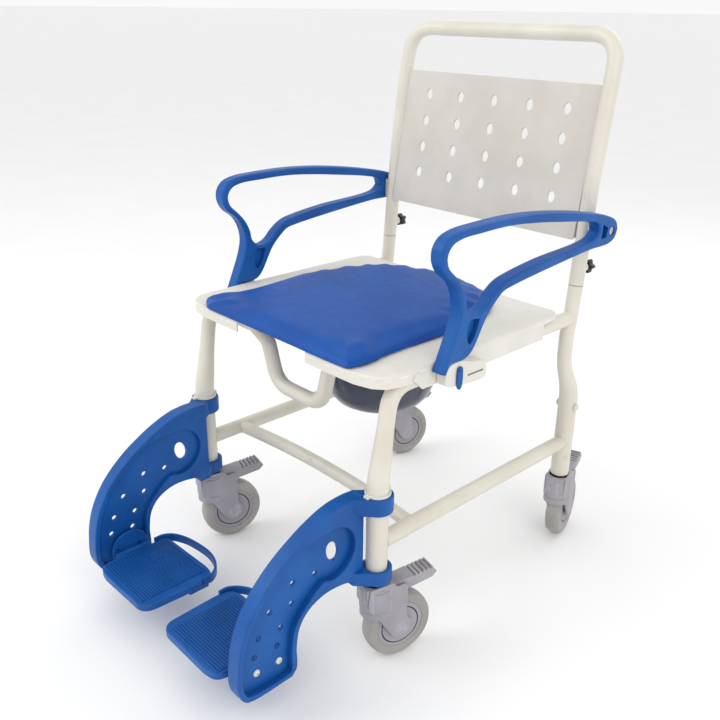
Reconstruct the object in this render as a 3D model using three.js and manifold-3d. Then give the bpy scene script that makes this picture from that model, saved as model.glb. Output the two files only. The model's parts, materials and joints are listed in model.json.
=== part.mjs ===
// Wheeled commode chair: welded tube frame on four braked casters, moulded seat plate with a lift-off
// cushion, hanging pan, plug-in backrest hoop, two swing-up armrests and two swing-away footrests.
// Millimetres, +Z up, the chair faces -Y and its sitter's left is +X.
import * as THREE from "three";
import { mergeVertices } from "three/addons/utils/BufferGeometryUtils.js";
import Module from "manifold-3d";

const wasm = await Module();
wasm.setup();

// ---------------------------------------------------------------- driving dimensions
const FRAME_SHIFT_Y = 21.5; // moves the leg-based layout so that the object is centred on Y = 0
const GAP = 0.4; // clearance between touching pieces
const TUBE_SIDES = 12;
const BEND_STEPS = 3; // rings in a tube bend

const LEG_X = 247;
const FRONT_LEG_Y = -200;
const REAR_LEG_Y = 333;
const LEG_FOOT_Z = 163; // bottom end of every leg tube
const LEG_R = 18.5; // leg radius below the taper
const LEG_TOP_R = 14; // leg radius above the taper
const SEAT_RAIL_Z = 510; // axis of the tubes under the seat plate
const STEM_BORE_R = 8;
const STEM_BORE_DEPTH = 46;

const RAIL_Z = 236;
const RAIL_R = 14.5;
const CROSSBAR_R = 12.5;
const CROSSBAR_Y = -116;
const SEAT_TUBE_R = 13.5;
const SEAT_TUBE_Y = -160;

const JOINT_Z = 574; // where the backrest hoop meets the rear legs
const JOINT_Y = 314;
const POST_SLOPE = 0.081; // rearward lean of the straight part of the back posts
const SPIGOT_R = 11.2;
const SPIGOT_LENGTH = 76;
const HOOP_R = 14.2;

const SEAT_TOP_Z = 537;
const SEAT_THICKNESS = 9;
const SKIRT_THICKNESS = 2.6;
const SKIRT_BOTTOM_Z = 495;

const ARM_IN_X = 265;
const ARM_OUT_X = 291;
const ARM_PIVOT = [344, 680]; // y, z

const WHEEL_R = 62.5;
const WHEEL_HALF_WIDTH = 16;
const WHEEL_ROOM_HALF = 17.6; // inner faces of the housing's cheeks
const HOUSING_HALF_WIDTH = 22.4;
const HEAD_R = 28;
const TRAIL = 42; // swivel axis to axle
const HEAD_TOP_Z = 159.4;

// ---------------------------------------------------------------- colours of the materials
const IVORY = { color: "#d9d4c7", roughness: 0.45, metalness: 0.1 };
const IVORY_PLASTIC = { color: "#dedad0", roughness: 0.5, metalness: 0 };
const PANEL_PLASTIC = { color: "#cbc5bb", roughness: 0.55, metalness: 0 };
const BLUE_PLASTIC = { color: "#1d4f9e", roughness: 0.45, metalness: 0 };
const CUSHION_BLUE = { color: "#1c4fa5", roughness: 0.5, metalness: 0 };
const GREY_PLASTIC = { color: "#8d8c90", roughness: 0.55, metalness: 0 };
const TYRE_GREY = { color: "#86827f", roughness: 0.65, metalness: 0 };
const SMOKED = { color: "#3c4454", roughness: 0.25, metalness: 0 };
const BLACK_PLASTIC = { color: "#151515", roughness: 0.45, metalness: 0 };
const STEEL = { color: "#b9bbbd", roughness: 0.3, metalness: 0.9 };

// ---------------------------------------------------------------- assembly and solid helpers
const assembly = new THREE.Group();
assembly.position.y = FRAME_SHIFT_Y;

// A closed geometry as a solid for boolean work.
function solid(geometry) {
  const bare = geometry.clone();
  bare.deleteAttribute("normal");
  bare.deleteAttribute("uv");
  const merged = mergeVertices(bare, 1e-3);
  return new wasm.Manifold(
    new wasm.Mesh({
      numProp: 3,
      vertProperties: merged.attributes.position.array,
      triVerts: new Uint32Array(merged.index.array),
    }),
  );
}

function geometryOf(shape) {
  const mesh = shape.getMesh();
  return new THREE.BufferGeometry()
    .setAttribute("position", new THREE.BufferAttribute(mesh.vertProperties, 3))
    .setIndex(new THREE.BufferAttribute(mesh.triVerts, 1));
}

function united(...geometries) {
  return geometryOf(geometries.map(solid).reduce((a, b) => a.add(b)));
}

function cut(geometry, ...tools) {
  return geometryOf(tools.map(solid).reduce((a, b) => a.subtract(b), solid(geometry)));
}

// The same geometry on the other side of the X = 0 plane, faces still pointing out.
function mirrored(geometry) {
  const copy = geometry.index ? geometry.toNonIndexed() : geometry.clone();
  copy.scale(-1, 1, 1);
  const p = copy.attributes.position;
  for (let i = 0; i < p.count; i += 3) {
    const [x, y, z] = [p.getX(i), p.getY(i), p.getZ(i)];
    p.setXYZ(i, p.getX(i + 1), p.getY(i + 1), p.getZ(i + 1));
    p.setXYZ(i + 1, x, y, z);
  }
  return copy;
}

function piece(name, geometry, look) {
  const mesh = new THREE.Mesh(geometry, new THREE.MeshStandardMaterial(look));
  mesh.name = name;
  assembly.add(mesh);
  return mesh;
}

// One piece on each side of the chair, drawn on the sitter's left.
function pair(name, geometry, look) {
  piece("left_" + name, geometry, look);
  piece("right_" + name, mirrored(geometry), look);
}

// ---------------------------------------------------------------- shape helpers
const vec = (x, y, z) => new THREE.Vector3(x, y, z);

// A polyline whose inner corners are rounded: corners are [x, y, z, radius].
function rounded(corners, steps = BEND_STEPS) {
  const points = [vec(...corners[0])];
  for (let i = 1; i < corners.length - 1; i++) {
    const corner = vec(...corners[i]);
    const before = vec(...corners[i - 1]).sub(corner);
    const after = vec(...corners[i + 1]).sub(corner);
    const halfAngle = before.angleTo(after) / 2;
    const reach = corners[i][3] / Math.tan(halfAngle);
    const from = corner.clone().addScaledVector(before.normalize(), reach);
    const to = corner.clone().addScaledVector(after.normalize(), reach);
    const bend = new THREE.QuadraticBezierCurve3(from, corner, to);
    points.push(...bend.getPoints(steps));
  }
  points.push(vec(...corners[corners.length - 1]));
  return points;
}

// A round bar through the points; radiusAt(point) gives its radius.
function bar(points, radiusAt, sides = TUBE_SIDES) {
  const positions = [];
  const index = [];
  const tangents = points.map((p, i) => {
    const a = points[Math.max(i - 1, 0)];
    const b = points[Math.min(i + 1, points.length - 1)];
    return b.clone().sub(a).normalize();
  });
  const side = Math.abs(tangents[0].x) < 0.9 ? vec(1, 0, 0) : vec(0, 1, 0);
  for (let i = 0; i < points.length; i++) {
    side.addScaledVector(tangents[i], -side.dot(tangents[i])).normalize();
    const other = tangents[i].clone().cross(side);
    const radius = radiusAt(points[i]);
    for (let k = 0; k < sides; k++) {
      const angle = (2 * Math.PI * k) / sides;
      const p = points[i].clone();
      p.addScaledVector(side, radius * Math.cos(angle));
      p.addScaledVector(other, radius * Math.sin(angle));
      positions.push(p.x, p.y, p.z);
    }
  }
  for (let i = 0; i + 1 < points.length; i++)
    for (let k = 0; k < sides; k++) {
      const a = i * sides + k;
      const b = i * sides + ((k + 1) % sides);
      index.push(a, b, b + sides, a, b + sides, a + sides);
    }
  const last = (points.length - 1) * sides;
  for (let k = 1; k + 1 < sides; k++) {
    index.push(0, k + 1, k);
    index.push(last, last + k, last + k + 1);
  }
  return new THREE.BufferGeometry()
    .setAttribute("position", new THREE.Float32BufferAttribute(positions, 3))
    .setIndex(index);
}

// A cylinder between two points.
function rod(from, to, radius, sides = 16) {
  return bar([vec(...from), vec(...to)], () => radius, sides);
}

function box(low, high) {
  const size = high.map((v, i) => v - low[i]);
  const middle = high.map((v, i) => (v + low[i]) / 2);
  return new THREE.BoxGeometry(...size).translate(...middle);
}

function outline(points) {
  return new THREE.Shape(points.map(([a, b]) => new THREE.Vector2(a, b)));
}

// A closed smooth outline through the points.
function smooth(points, count) {
  const curve = new THREE.CatmullRomCurve3(points.map(([a, b]) => vec(a, b, 0)), true, "centripetal");
  return curve.getSpacedPoints(count).slice(0, count).map((p) => [p.x, p.y]);
}

function ellipse(a, b, radiusA, radiusB, count = 12, turn = 0) {
  const points = [];
  for (let k = 0; k < count; k++) {
    const angle = (2 * Math.PI * k) / count;
    const u = radiusA * Math.cos(angle);
    const v = radiusB * Math.sin(angle);
    points.push([a + u * Math.cos(turn) - v * Math.sin(turn), b + u * Math.sin(turn) + v * Math.cos(turn)]);
  }
  return points;
}

// The outline moved inwards by a distance; the points run counter-clockwise.
function inset(points, distance) {
  return points.map(([a, b], i) => {
    const [pa, pb] = points[(i + points.length - 1) % points.length];
    const [na, nb] = points[(i + 1) % points.length];
    const length = Math.hypot(na - pa, nb - pb);
    return [a - (distance * (nb - pb)) / length, b + (distance * (na - pa)) / length];
  });
}

function slab(shape, thickness, bevel) {
  return new THREE.ExtrudeGeometry(shape, {
    depth: thickness - 2 * bevel,
    bevelEnabled: bevel > 0,
    bevelThickness: bevel,
    bevelSize: bevel,
    bevelOffset: -bevel,
    bevelSegments: 1,
    curveSegments: 8,
  }).translate(0, 0, bevel);
}

// Extrusions of an outline in the (y, z), (x, y) and (x, z) planes.
function alongX(shape, x0, x1, bevel = 0) {
  const turn = new THREE.Matrix4().makeBasis(vec(0, 1, 0), vec(0, 0, 1), vec(1, 0, 0));
  return slab(shape, x1 - x0, bevel).applyMatrix4(turn).translate(x0, 0, 0);
}

function alongZ(shape, z0, z1, bevel = 0) {
  return slab(shape, z1 - z0, bevel).translate(0, 0, z0);
}

function alongY(shape, y0, y1, bevel = 0) {
  return slab(shape, y1 - y0, bevel).rotateX(Math.PI / 2).translate(0, y1, 0);
}

// A turned solid about +Z; the profile is [radius, z] from the lower axis end to the upper one.
function turned(profile, segments) {
  return new THREE.LatheGeometry(
    profile.map(([r, z]) => new THREE.Vector2(r, z)),
    segments,
  ).rotateX(Math.PI / 2);
}

const blend = (t) => Math.min(Math.max(t, 0), 1);
const legRadius = (low, high) => (p) => LEG_R + (LEG_TOP_R - LEG_R) * blend((p.z - low) / (high - low));

// ---------------------------------------------------------------- frame tubes
const FRONT_LEG_PATH = [
  [LEG_X, FRONT_LEG_Y, LEG_FOOT_Z],
  [LEG_X, FRONT_LEG_Y, 350, 190],
  [LEG_X, -177, SEAT_RAIL_Z, 44],
  [LEG_X, 304, SEAT_RAIL_Z],
];
const REAR_LEG_PATH = [
  [LEG_X, REAR_LEG_Y, LEG_FOOT_Z],
  [LEG_X, REAR_LEG_Y + 1, 350, 110],
  [LEG_X, 302.5, 416, 110],
  [LEG_X, 302, 476, 120],
  [LEG_X, JOINT_Y - POST_SLOPE * 52, JOINT_Z - 52, 120],
  [LEG_X, JOINT_Y, JOINT_Z],
];

function stemBore(y) {
  return rod([LEG_X, y, LEG_FOOT_Z - 5], [LEG_X, y, LEG_FOOT_Z + STEM_BORE_DEPTH], STEM_BORE_R, 12);
}

// Cutters a clearance larger than the legs, for the ends of the tubes welded to them.
const rearLegCutter = bar(rounded(REAR_LEG_PATH, BEND_STEPS), (p) => legRadius(335, 420)(p) + GAP);
const frontLegCutter = bar(rounded(FRONT_LEG_PATH, BEND_STEPS), (p) => legRadius(350, 450)(p) + GAP);

function frontLeg() {
  const tube = bar(rounded(FRONT_LEG_PATH, BEND_STEPS), legRadius(350, 450));
  return cut(tube, stemBore(FRONT_LEG_Y), rearLegCutter);
}

// The rear leg carries the spigot for the hoop and a short cross bush above the side rail.
function rearLeg() {
  const tube = bar(rounded(REAR_LEG_PATH, BEND_STEPS), legRadius(335, 420));
  const tip = [LEG_X, JOINT_Y + POST_SLOPE * SPIGOT_LENGTH, JOINT_Z + SPIGOT_LENGTH];
  const spigot = rod([LEG_X, JOINT_Y - POST_SLOPE * 20, JOINT_Z - 20], tip, SPIGOT_R, 12);
  const bush = rod([LEG_X - 22, REAR_LEG_Y, 318], [LEG_X + 22, REAR_LEG_Y, 318], 7.5, 12);
  return cut(united(tube, spigot, bush), stemBore(REAR_LEG_Y));
}

function sideRail() {
  const tube = rod([LEG_X, FRONT_LEG_Y, RAIL_Z], [LEG_X, REAR_LEG_Y, RAIL_Z], RAIL_R);
  return cut(tube, frontLegCutter, rearLegCutter);
}

pair("front_leg", frontLeg(), IVORY);
pair("rear_leg", rearLeg(), IVORY);
const leftRail = sideRail();
pair("side_rail", leftRail, IVORY);

// The lower crossbar bows back and a little up between the side rails.
function lowerCrossbar() {
  const half = LEG_X - RAIL_R + 6;
  const points = [];
  for (let i = 0; i <= 8; i++) {
    const t = -1 + i / 4;
    const bow = 1 - t * t;
    points.push(vec(half * t, CROSSBAR_Y + 12 * bow, RAIL_Z + 4 * bow));
  }
  const cutter = rod([LEG_X, -200, RAIL_Z], [LEG_X, 300, RAIL_Z], RAIL_R + GAP);
  return cut(bar(points, () => CROSSBAR_R), cutter, mirrored(cutter));
}
piece("lower_crossbar", lowerCrossbar(), IVORY);

// The front seat tube dips in a U below the open front of the seat plate.
function frontSeatTube() {
  const half = [
    [LEG_X, -164, SEAT_RAIL_Z, 0],
    [124, SEAT_TUBE_Y, SEAT_RAIL_Z - 4, 26],
    [84, SEAT_TUBE_Y, 486, 24],
    [62, SEAT_TUBE_Y + 2, 408, 44],
  ];
  const right = half.map(([x, y, z, r]) => [-x, y, z, r]).reverse();
  const tube = bar(rounded([...half, ...right]), () => SEAT_TUBE_R);
  return cut(tube, frontLegCutter, mirrored(frontLegCutter));
}
piece("front_seat_tube", frontSeatTube(), IVORY);

const REAR_SEAT_TUBE_R = 10.5;
const REAR_SEAT_TUBE_Y = 226;
piece(
  "rear_seat_tube",
  cut(
    rod([-LEG_X, REAR_SEAT_TUBE_Y, SEAT_RAIL_Z + 3], [LEG_X, REAR_SEAT_TUBE_Y, SEAT_RAIL_Z + 3], REAR_SEAT_TUBE_R),
    frontLegCutter,
    mirrored(frontLegCutter),
  ),
  IVORY,
);

// ---------------------------------------------------------------- seat plate
const SEAT_HALF_WIDTH = 264.4;
const SEAT_FRONT_Y = -222;
const SEAT_REAR_Y = 252;
const APERTURE_Y = 34;
const APERTURE_HALF_X = 104;
const APERTURE_HALF_Y = 132;
const FRONT_OPENING_HALF = 88;

// Outline of the plate, its front corners cut round and its rear corners notched before the posts.
function plateOutline() {
  const right = [
    [150, SEAT_FRONT_Y],
    [208, SEAT_FRONT_Y + 1],
    [240, SEAT_FRONT_Y + 10],
    [257, SEAT_FRONT_Y + 26],
    [SEAT_HALF_WIDTH - 1, SEAT_FRONT_Y + 52],
    [SEAT_HALF_WIDTH, SEAT_FRONT_Y + 100],
    [SEAT_HALF_WIDTH - 2, SEAT_REAR_Y - 40],
    [SEAT_HALF_WIDTH - 6, SEAT_REAR_Y - 12],
    [SEAT_HALF_WIDTH - 18, SEAT_REAR_Y],
  ];
  return [...right, ...right.map(([x, y]) => [-x, y]).reverse()];
}

function seatPlate() {
  const points = plateOutline();
  const plate = alongZ(outline(points), SKIRT_BOTTOM_Z, SEAT_TOP_Z, 3);
  const hollow = alongZ(outline(inset(points, SKIRT_THICKNESS)), SKIRT_BOTTOM_Z - 5, SEAT_TOP_Z - SEAT_THICKNESS);
  const aperture = alongZ(
    outline(ellipse(0, APERTURE_Y, APERTURE_HALF_X, APERTURE_HALF_Y, 20)),
    SKIRT_BOTTOM_Z - 10,
    SEAT_TOP_Z + 5,
  );
  const mouth = alongZ(
    outline([
      [-FRONT_OPENING_HALF - 8, SEAT_FRONT_Y - 10],
      [FRONT_OPENING_HALF + 8, SEAT_FRONT_Y - 10],
      [FRONT_OPENING_HALF, SEAT_FRONT_Y + 30],
      [66, -60],
      [-66, -60],
      [-FRONT_OPENING_HALF, SEAT_FRONT_Y + 30],
    ]),
    SKIRT_BOTTOM_Z - 10,
    SEAT_TOP_Z + 5,
  );
  // The skirt is shallow at the front and rear edges and deep along the sides.
  const frontRelief = alongX(
    outline([
      [SEAT_FRONT_Y - 10, SKIRT_BOTTOM_Z - 8],
      [-112, SKIRT_BOTTOM_Z - 8],
      [-140, SEAT_TOP_Z - 24],
      [SEAT_FRONT_Y - 10, SEAT_TOP_Z - 20],
    ]),
    -280,
    280,
  );
  const rearRelief = box([-225, SEAT_REAR_Y - 60, SKIRT_BOTTOM_Z - 8], [225, SEAT_REAR_Y + 10, SEAT_TOP_Z - 13]);
  const railSlot = box([LEG_X - 16, 200, SKIRT_BOTTOM_Z - 8], [LEG_X + 16, 260, SEAT_RAIL_Z + LEG_TOP_R + 1]);
  const boss = rod([SEAT_HALF_WIDTH - 2, -138, 521], [SEAT_HALF_WIDTH + 3, -138, 521], 8, 10);
  const legs = [frontLegCutter, mirrored(frontLegCutter)];
  const plain = cut(plate, hollow, aperture, mouth, frontRelief, rearRelief, railSlot, mirrored(railSlot), ...legs);
  return united(plain, boss, mirrored(boss));
}
piece("seat_plate", seatPlate(), IVORY_PLASTIC);

// ---------------------------------------------------------------- cushion
const CUSHION_BOTTOM_Z = SEAT_TOP_Z + GAP;
const CUSHION_THICKNESS = 22;
const CUSHION_HALF = [
  [60, -235],
  [150, -235],
  [200, -231],
  [216, -212],
  [211, -172],
  [204, -132],
  [205, -60],
  [208, 20],
  [204, 84],
  [190, 136],
  [166, 180],
  [132, 214],
  [88, 236],
  [36, 246],
];
const cushionOutline = smooth([...CUSHION_HALF, ...CUSHION_HALF.map(([x, y]) => [-x, y]).reverse()], 34);

// Stacked insets of the outline give the rolled edge and the slightly crowned top.
function cushion() {
  const layers = [
    [7, 0],
    [1.5, 2.5],
    [0, 8],
    [1.5, 15],
    [7, 20],
    [20, CUSHION_THICKNESS],
  ];
  const rings = layers.map(([distance]) => inset(cushionOutline, distance));
  const count = cushionOutline.length;
  const positions = [];
  rings.forEach((ring, i) => ring.forEach(([x, y]) => positions.push(x, y, CUSHION_BOTTOM_Z + layers[i][1])));
  const index = [];
  for (let i = 0; i + 1 < rings.length; i++)
    for (let k = 0; k < count; k++) {
      const a = i * count + k;
      const b = i * count + ((k + 1) % count);
      index.push(a, b, b + count, a, b + count, a + count);
    }
  const caps = (ring, offset, up) =>
    THREE.ShapeUtils.triangulateShape(ring.map(([x, y]) => new THREE.Vector2(x, y)), []).forEach(([a, b, c]) =>
      index.push(offset + a, offset + (up ? b : c), offset + (up ? c : b)),
    );
  caps(rings[0], 0, false);
  caps(rings[rings.length - 1], (rings.length - 1) * count, true);
  return new THREE.BufferGeometry()
    .setAttribute("position", new THREE.Float32BufferAttribute(positions, 3))
    .setIndex(index);
}
piece("seat_cushion", cushion(), CUSHION_BLUE);

// ---------------------------------------------------------------- pan and its rails
const PAN_Y = 45;
const PAN_RIM_Z = 497;
const PAN_BOTTOM_Z = 338;
piece(
  "pan",
  turned(
    [
      [0, PAN_BOTTOM_Z],
      [70, PAN_BOTTOM_Z],
      [88, PAN_BOTTOM_Z + 8],
      [103, PAN_BOTTOM_Z + 30],
      [119, PAN_BOTTOM_Z + 82],
      [126, PAN_RIM_Z - 5],
      [142, PAN_RIM_Z - 4.4],
      [142, PAN_RIM_Z],
      [123, PAN_RIM_Z],
      [116, PAN_BOTTOM_Z + 83],
      [100, PAN_BOTTOM_Z + 32],
      [85, PAN_BOTTOM_Z + 11],
      [69, PAN_BOTTOM_Z + 3],
      [0, PAN_BOTTOM_Z + 3],
    ],
    24,
  ).translate(0, PAN_Y, 0),
  SMOKED,
);

// A channel on each side holds the pan's rim and hangs from the seat plate's underside.
const RAIL_LOW_Z = PAN_RIM_Z - 9;
const panRail = alongY(
  outline([
    [129, RAIL_LOW_Z],
    [150, RAIL_LOW_Z],
    [150, SEAT_TOP_Z - SEAT_THICKNESS - GAP],
    [143, SEAT_TOP_Z - SEAT_THICKNESS - GAP],
    [143, RAIL_LOW_Z + 3],
    [129, RAIL_LOW_Z + 3],
  ]),
  -70,
  200,
);
pair("pan_rail", panRail, IVORY_PLASTIC);

// ---------------------------------------------------------------- backrest hoop, panel and knobs
const HOOP_TOP_Z = 1013;
const HOOP_TOP_Y = 372;
const HOOP_PATH = [
  [LEG_X, JOINT_Y + POST_SLOPE * GAP, JOINT_Z + GAP],
  [LEG_X, JOINT_Y + POST_SLOPE * 190, JOINT_Z + 190, 420],
  [LEG_X, 349, 905, 500],
  [LEG_X - 1, 367, HOOP_TOP_Z, 58],
];
const KNOB_Z = 604;
const KNOB_Y = JOINT_Y + POST_SLOPE * (KNOB_Z - JOINT_Z);
const LUG_X = [LEG_X + 4, ARM_IN_X - GAP];

function backHoop() {
  const other = HOOP_PATH.map(([x, y, z, r]) => [-x, y, z, r]).reverse();
  const topLeft = [150, HOOP_TOP_Y, HOOP_TOP_Z - 1, 60];
  const topRight = [-150, HOOP_TOP_Y, HOOP_TOP_Z - 1, 60];
  const tube = bar(rounded([...HOOP_PATH, topLeft, topRight, ...other]), () => HOOP_R);
  const bore = rod(
    [LEG_X, JOINT_Y - POST_SLOPE * 10, JOINT_Z - 10],
    [LEG_X, JOINT_Y + POST_SLOPE * (SPIGOT_LENGTH + 3), JOINT_Z + SPIGOT_LENGTH + 3],
    SPIGOT_R + GAP,
    12,
  );
  // The lug behind each post carries the armrest pivot.
  const lug = alongX(
    outline([
      [ARM_PIVOT[0] - 30, ARM_PIVOT[1] - 20],
      [ARM_PIVOT[0] + 4, ARM_PIVOT[1] - 13],
      [ARM_PIVOT[0] + 13, ARM_PIVOT[1] - 4],
      [ARM_PIVOT[0] + 13, ARM_PIVOT[1] + 6],
      [ARM_PIVOT[0] + 4, ARM_PIVOT[1] + 13],
      [ARM_PIVOT[0] - 30, ARM_PIVOT[1] + 18],
    ]),
    ...LUG_X,
  );
  const pivotHole = rod([LEG_X - 4, ...ARM_PIVOT], [LEG_X + 30, ...ARM_PIVOT], 4.4, 12);
  const nut = rod([LEG_X, KNOB_Y + 9, KNOB_Z], [LEG_X, KNOB_Y + 22, KNOB_Z], 8, 12);
  const studHole = rod([LEG_X, KNOB_Y + 4, KNOB_Z], [LEG_X, KNOB_Y + 30, KNOB_Z], 3.4, 12);
  const fittings = [lug, nut];
  const holes = [bore, pivotHole, studHole];
  return cut(
    united(tube, ...fittings, ...fittings.map(mirrored)),
    ...holes,
    ...holes.map(mirrored),
  );
}
piece("back_hoop", backHoop(), IVORY);

// Five-lobed clamping knob with its threaded stud pointing forwards into the post.
function starKnob() {
  const lobes = [];
  for (let k = 0; k < 20; k++) {
    const angle = (2 * Math.PI * k) / 20;
    const radius = 11.6 + 2.2 * Math.cos(5 * angle);
    lobes.push([LEG_X + radius * Math.cos(angle), KNOB_Z + radius * Math.sin(angle)]);
  }
  const head = alongY(outline(lobes), KNOB_Y + 25, KNOB_Y + 38, 2);
  const hub = rod([LEG_X, KNOB_Y + 22 + GAP, KNOB_Z], [LEG_X, KNOB_Y + 27, KNOB_Z], 7, 12);
  const stud = rod([LEG_X, KNOB_Y + SPIGOT_R + 0.8, KNOB_Z], [LEG_X, KNOB_Y + 27, KNOB_Z], 2.9, 12);
  return united(head, hub, stud);
}
pair("back_knob", starKnob(), BLACK_PLASTIC);

const PANEL_HALF_WIDTH = LEG_X - HOOP_R - GAP - 0.4;
const PANEL_BOTTOM = [309, 658]; // y, z
const PANEL_TOP = [352, 929];
const PANEL_THICKNESS = 5;
const SLOT_PITCH_X = 84.8;
const SLOT_TOP_FROM_BOTTOM = 229; // height of the first row along the leaning panel
const SLOT_PITCH_Z = 53.2;

// The panel is drawn flat and upright, then leaned back with the posts.
function backPanel() {
  const length = Math.hypot(PANEL_TOP[0] - PANEL_BOTTOM[0], PANEL_TOP[1] - PANEL_BOTTOM[1]);
  const lean = Math.atan2(PANEL_TOP[0] - PANEL_BOTTOM[0], PANEL_TOP[1] - PANEL_BOTTOM[1]);
  const w = PANEL_HALF_WIDTH;
  const sheet = outline([
    [-w, 0],
    [w, 0],
    [w, length],
    [-w, length],
  ]);
  for (let row = 0; row < 4; row++)
    for (let column = -2; column <= 2; column++) {
      const slot = ellipse(column * SLOT_PITCH_X, SLOT_TOP_FROM_BOTTOM - row * SLOT_PITCH_Z, 7, 9.5, 8);
      sheet.holes.push(new THREE.Path(slot.map(([a, b]) => new THREE.Vector2(a, b))));
    }
  const face = alongY(sheet, -PANEL_THICKNESS / 2, PANEL_THICKNESS / 2);
  const flange = box([w - 5, 0, 4], [w, 9, length - 4]);
  const flat = united(face, flange, mirrored(flange));
  return flat.rotateX(-lean).translate(0, PANEL_BOTTOM[0], PANEL_BOTTOM[1]);
}
piece("back_panel", backPanel(), PANEL_PLASTIC);

// ---------------------------------------------------------------- armrests
const ARM_OUTLINE = [
  [365, 681],
  [357, 697],
  [325, 711],
  [262, 725],
  [190, 737],
  [118, 746],
  [45, 751],
  [-30, 751],
  [-84, 748],
  [-108, 740],
  [-120, 725],
  [-121, 706],
  [-111, 687],
  [-90, 670],
  [-77, 650],
  [-71, 625],
  [-75, 600],
  [-88, 569],
  [-99, 542],
  [-107, 524],
  [-98, 520],
  [-88, 537.5],
  [-54, 537],
  [-37, 546],
  [-20, 572],
  [-3, 599],
  [19, 620],
  [34, 630],
  [60, 635],
  [104, 639],
  [188, 648],
  [279, 655],
  [342, 657],
  [358, 665],
];
const ARM_HOLE = [
  [298, 699],
  [262, 709],
  [176, 722],
  [108, 731],
  [40, 737],
  [-30, 737],
  [-78, 735],
  [-98, 728],
  [-107, 714],
  [-103, 697],
  [-86, 680],
  [-70, 662],
  [-59, 641],
  [-54, 621],
  [-36, 607],
  [-14, 612],
  [6, 630],
  [32, 646],
  [70, 654],
  [138, 662],
  [224, 669],
  [290, 674],
  [304, 685],
];
const ARM_POCKET = [
  [-52, 604],
  [-58, 580],
  [-52, 562],
  [-44, 558],
  [-36, 566],
  [-26, 586],
  [-22, 600],
];
const ARM_REAR_POCKET = [
  [310, 670],
  [326, 671],
  [330, 688],
  [312, 697],
];

function armrest() {
  const shape = outline(ARM_OUTLINE);
  shape.holes.push(new THREE.Path(ARM_HOLE.map(([a, b]) => new THREE.Vector2(a, b))));
  const body = alongX(shape, ARM_IN_X, ARM_OUT_X, 3.5);
  const pockets = [ARM_POCKET, ARM_REAR_POCKET].map((points) => alongX(outline(points), ARM_IN_X + 10, ARM_OUT_X + 5));
  const bore = rod([ARM_IN_X - 5, ...ARM_PIVOT], [ARM_OUT_X + 5, ...ARM_PIVOT], 4.4, 12);
  const counterbore = rod([ARM_OUT_X - 6, ...ARM_PIVOT], [ARM_OUT_X + 5, ...ARM_PIVOT], 8.4, 16);
  return cut(body, ...pockets, bore, counterbore);
}
pair("armrest", armrest(), BLUE_PLASTIC);
pair(
  "arm_pivot_pin",
  united(
    rod([LEG_X - 1, ...ARM_PIVOT], [ARM_OUT_X - 4, ...ARM_PIVOT], 4, 12),
    rod([ARM_OUT_X - 5.5, ...ARM_PIVOT], [ARM_OUT_X - 2, ...ARM_PIVOT], 7.8, 16),
  ),
  STEEL,
);

// The bracket under the seat edge that the armrest's foot drops onto, with its lock lever.
const BRACKET_IN_X = SEAT_HALF_WIDTH + GAP;
const BRACKET_OUT_X = 286;
const LEVER_PIVOT = [-63, 519];
function armBracket() {
  const body = alongX(
    outline([
      [-93, 500],
      [-84, 495],
      [-73, 493],
      [-50, 490],
      [4, 487],
      [9, 492],
      [9, 514],
      [1, 519],
      [-34, 527],
      [-50, 533],
      [-78, 534],
      [-90, 527],
      [-93, 512],
    ]),
    BRACKET_IN_X,
    BRACKET_OUT_X,
    2,
  );
  const slot = alongX(
    outline([
      [-40, 502],
      [0, 501.5],
      [0, 505],
      [-40, 505.5],
    ]),
    BRACKET_OUT_X - 6,
    BRACKET_OUT_X + 5,
  );
  const pinHole = rod([BRACKET_OUT_X - 9, ...LEVER_PIVOT], [BRACKET_OUT_X + 5, ...LEVER_PIVOT], 3.4, 12);
  return cut(body, slot, pinHole);
}
pair("arm_bracket", armBracket(), IVORY_PLASTIC);

function lockLever() {
  const blade = alongX(
    outline([
      [-68.5, 493],
      [-66, 488],
      [-63, 486.5],
      [-60, 488],
      [-57.5, 493],
      [-57.5, 523],
      [-60, 526],
      [-66, 526],
      [-68.5, 523],
    ]),
    BRACKET_OUT_X + GAP,
    BRACKET_OUT_X + 4.6,
    1,
  );
  const pin = rod([BRACKET_OUT_X - 8, ...LEVER_PIVOT], [BRACKET_OUT_X + 3, ...LEVER_PIVOT], 3, 12);
  return united(blade, pin);
}
pair("arm_lock_lever", lockLever(), BLUE_PLASTIC);

// ---------------------------------------------------------------- footrest hangers
const HANGER_IN_X = 211;
const HANGER_OUT_X = 239;
const HANGER_WEB_X = [220, 227];
const HANGER_RIM = 10;
const COLLAR_IN_R = LEG_R + 0.6;
const COLLAR_OUT_R = LEG_R + 8;
const UPPER_COLLAR_Z = [301, 331];
const LOWER_COLLAR_Z = [166, 192];
const HANGER_OUTLINE = [
  [-222, 166],
  [-222, 331],
  [-250, 333],
  [-287, 329],
  [-328, 314],
  [-358, 298],
  [-388, 279],
  [-418, 254],
  [-442, 227],
  [-461, 195],
  [-472, 165],
  [-478, 130],
  [-479, 86],
  [-468, 64],
  [-452, 58],
  [-376, 58],
  [-366, 70],
  [-365, 112],
  [-358, 146],
  [-341, 168],
  [-309, 182],
  [-265, 181],
];
const HANGER_HOLES = [
  [-440, 127],
  [-396, 125],
  [-431, 159],
  [-388, 156],
  [-408, 196],
  [-365, 190],
  [-362, 227],
  [-317, 223],
];
const CUTOUT = [-280, 247]; // centre of the upright oval hand opening
const SCREWS = [
  [-438, 97],
  [-394, 95],
];

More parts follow.
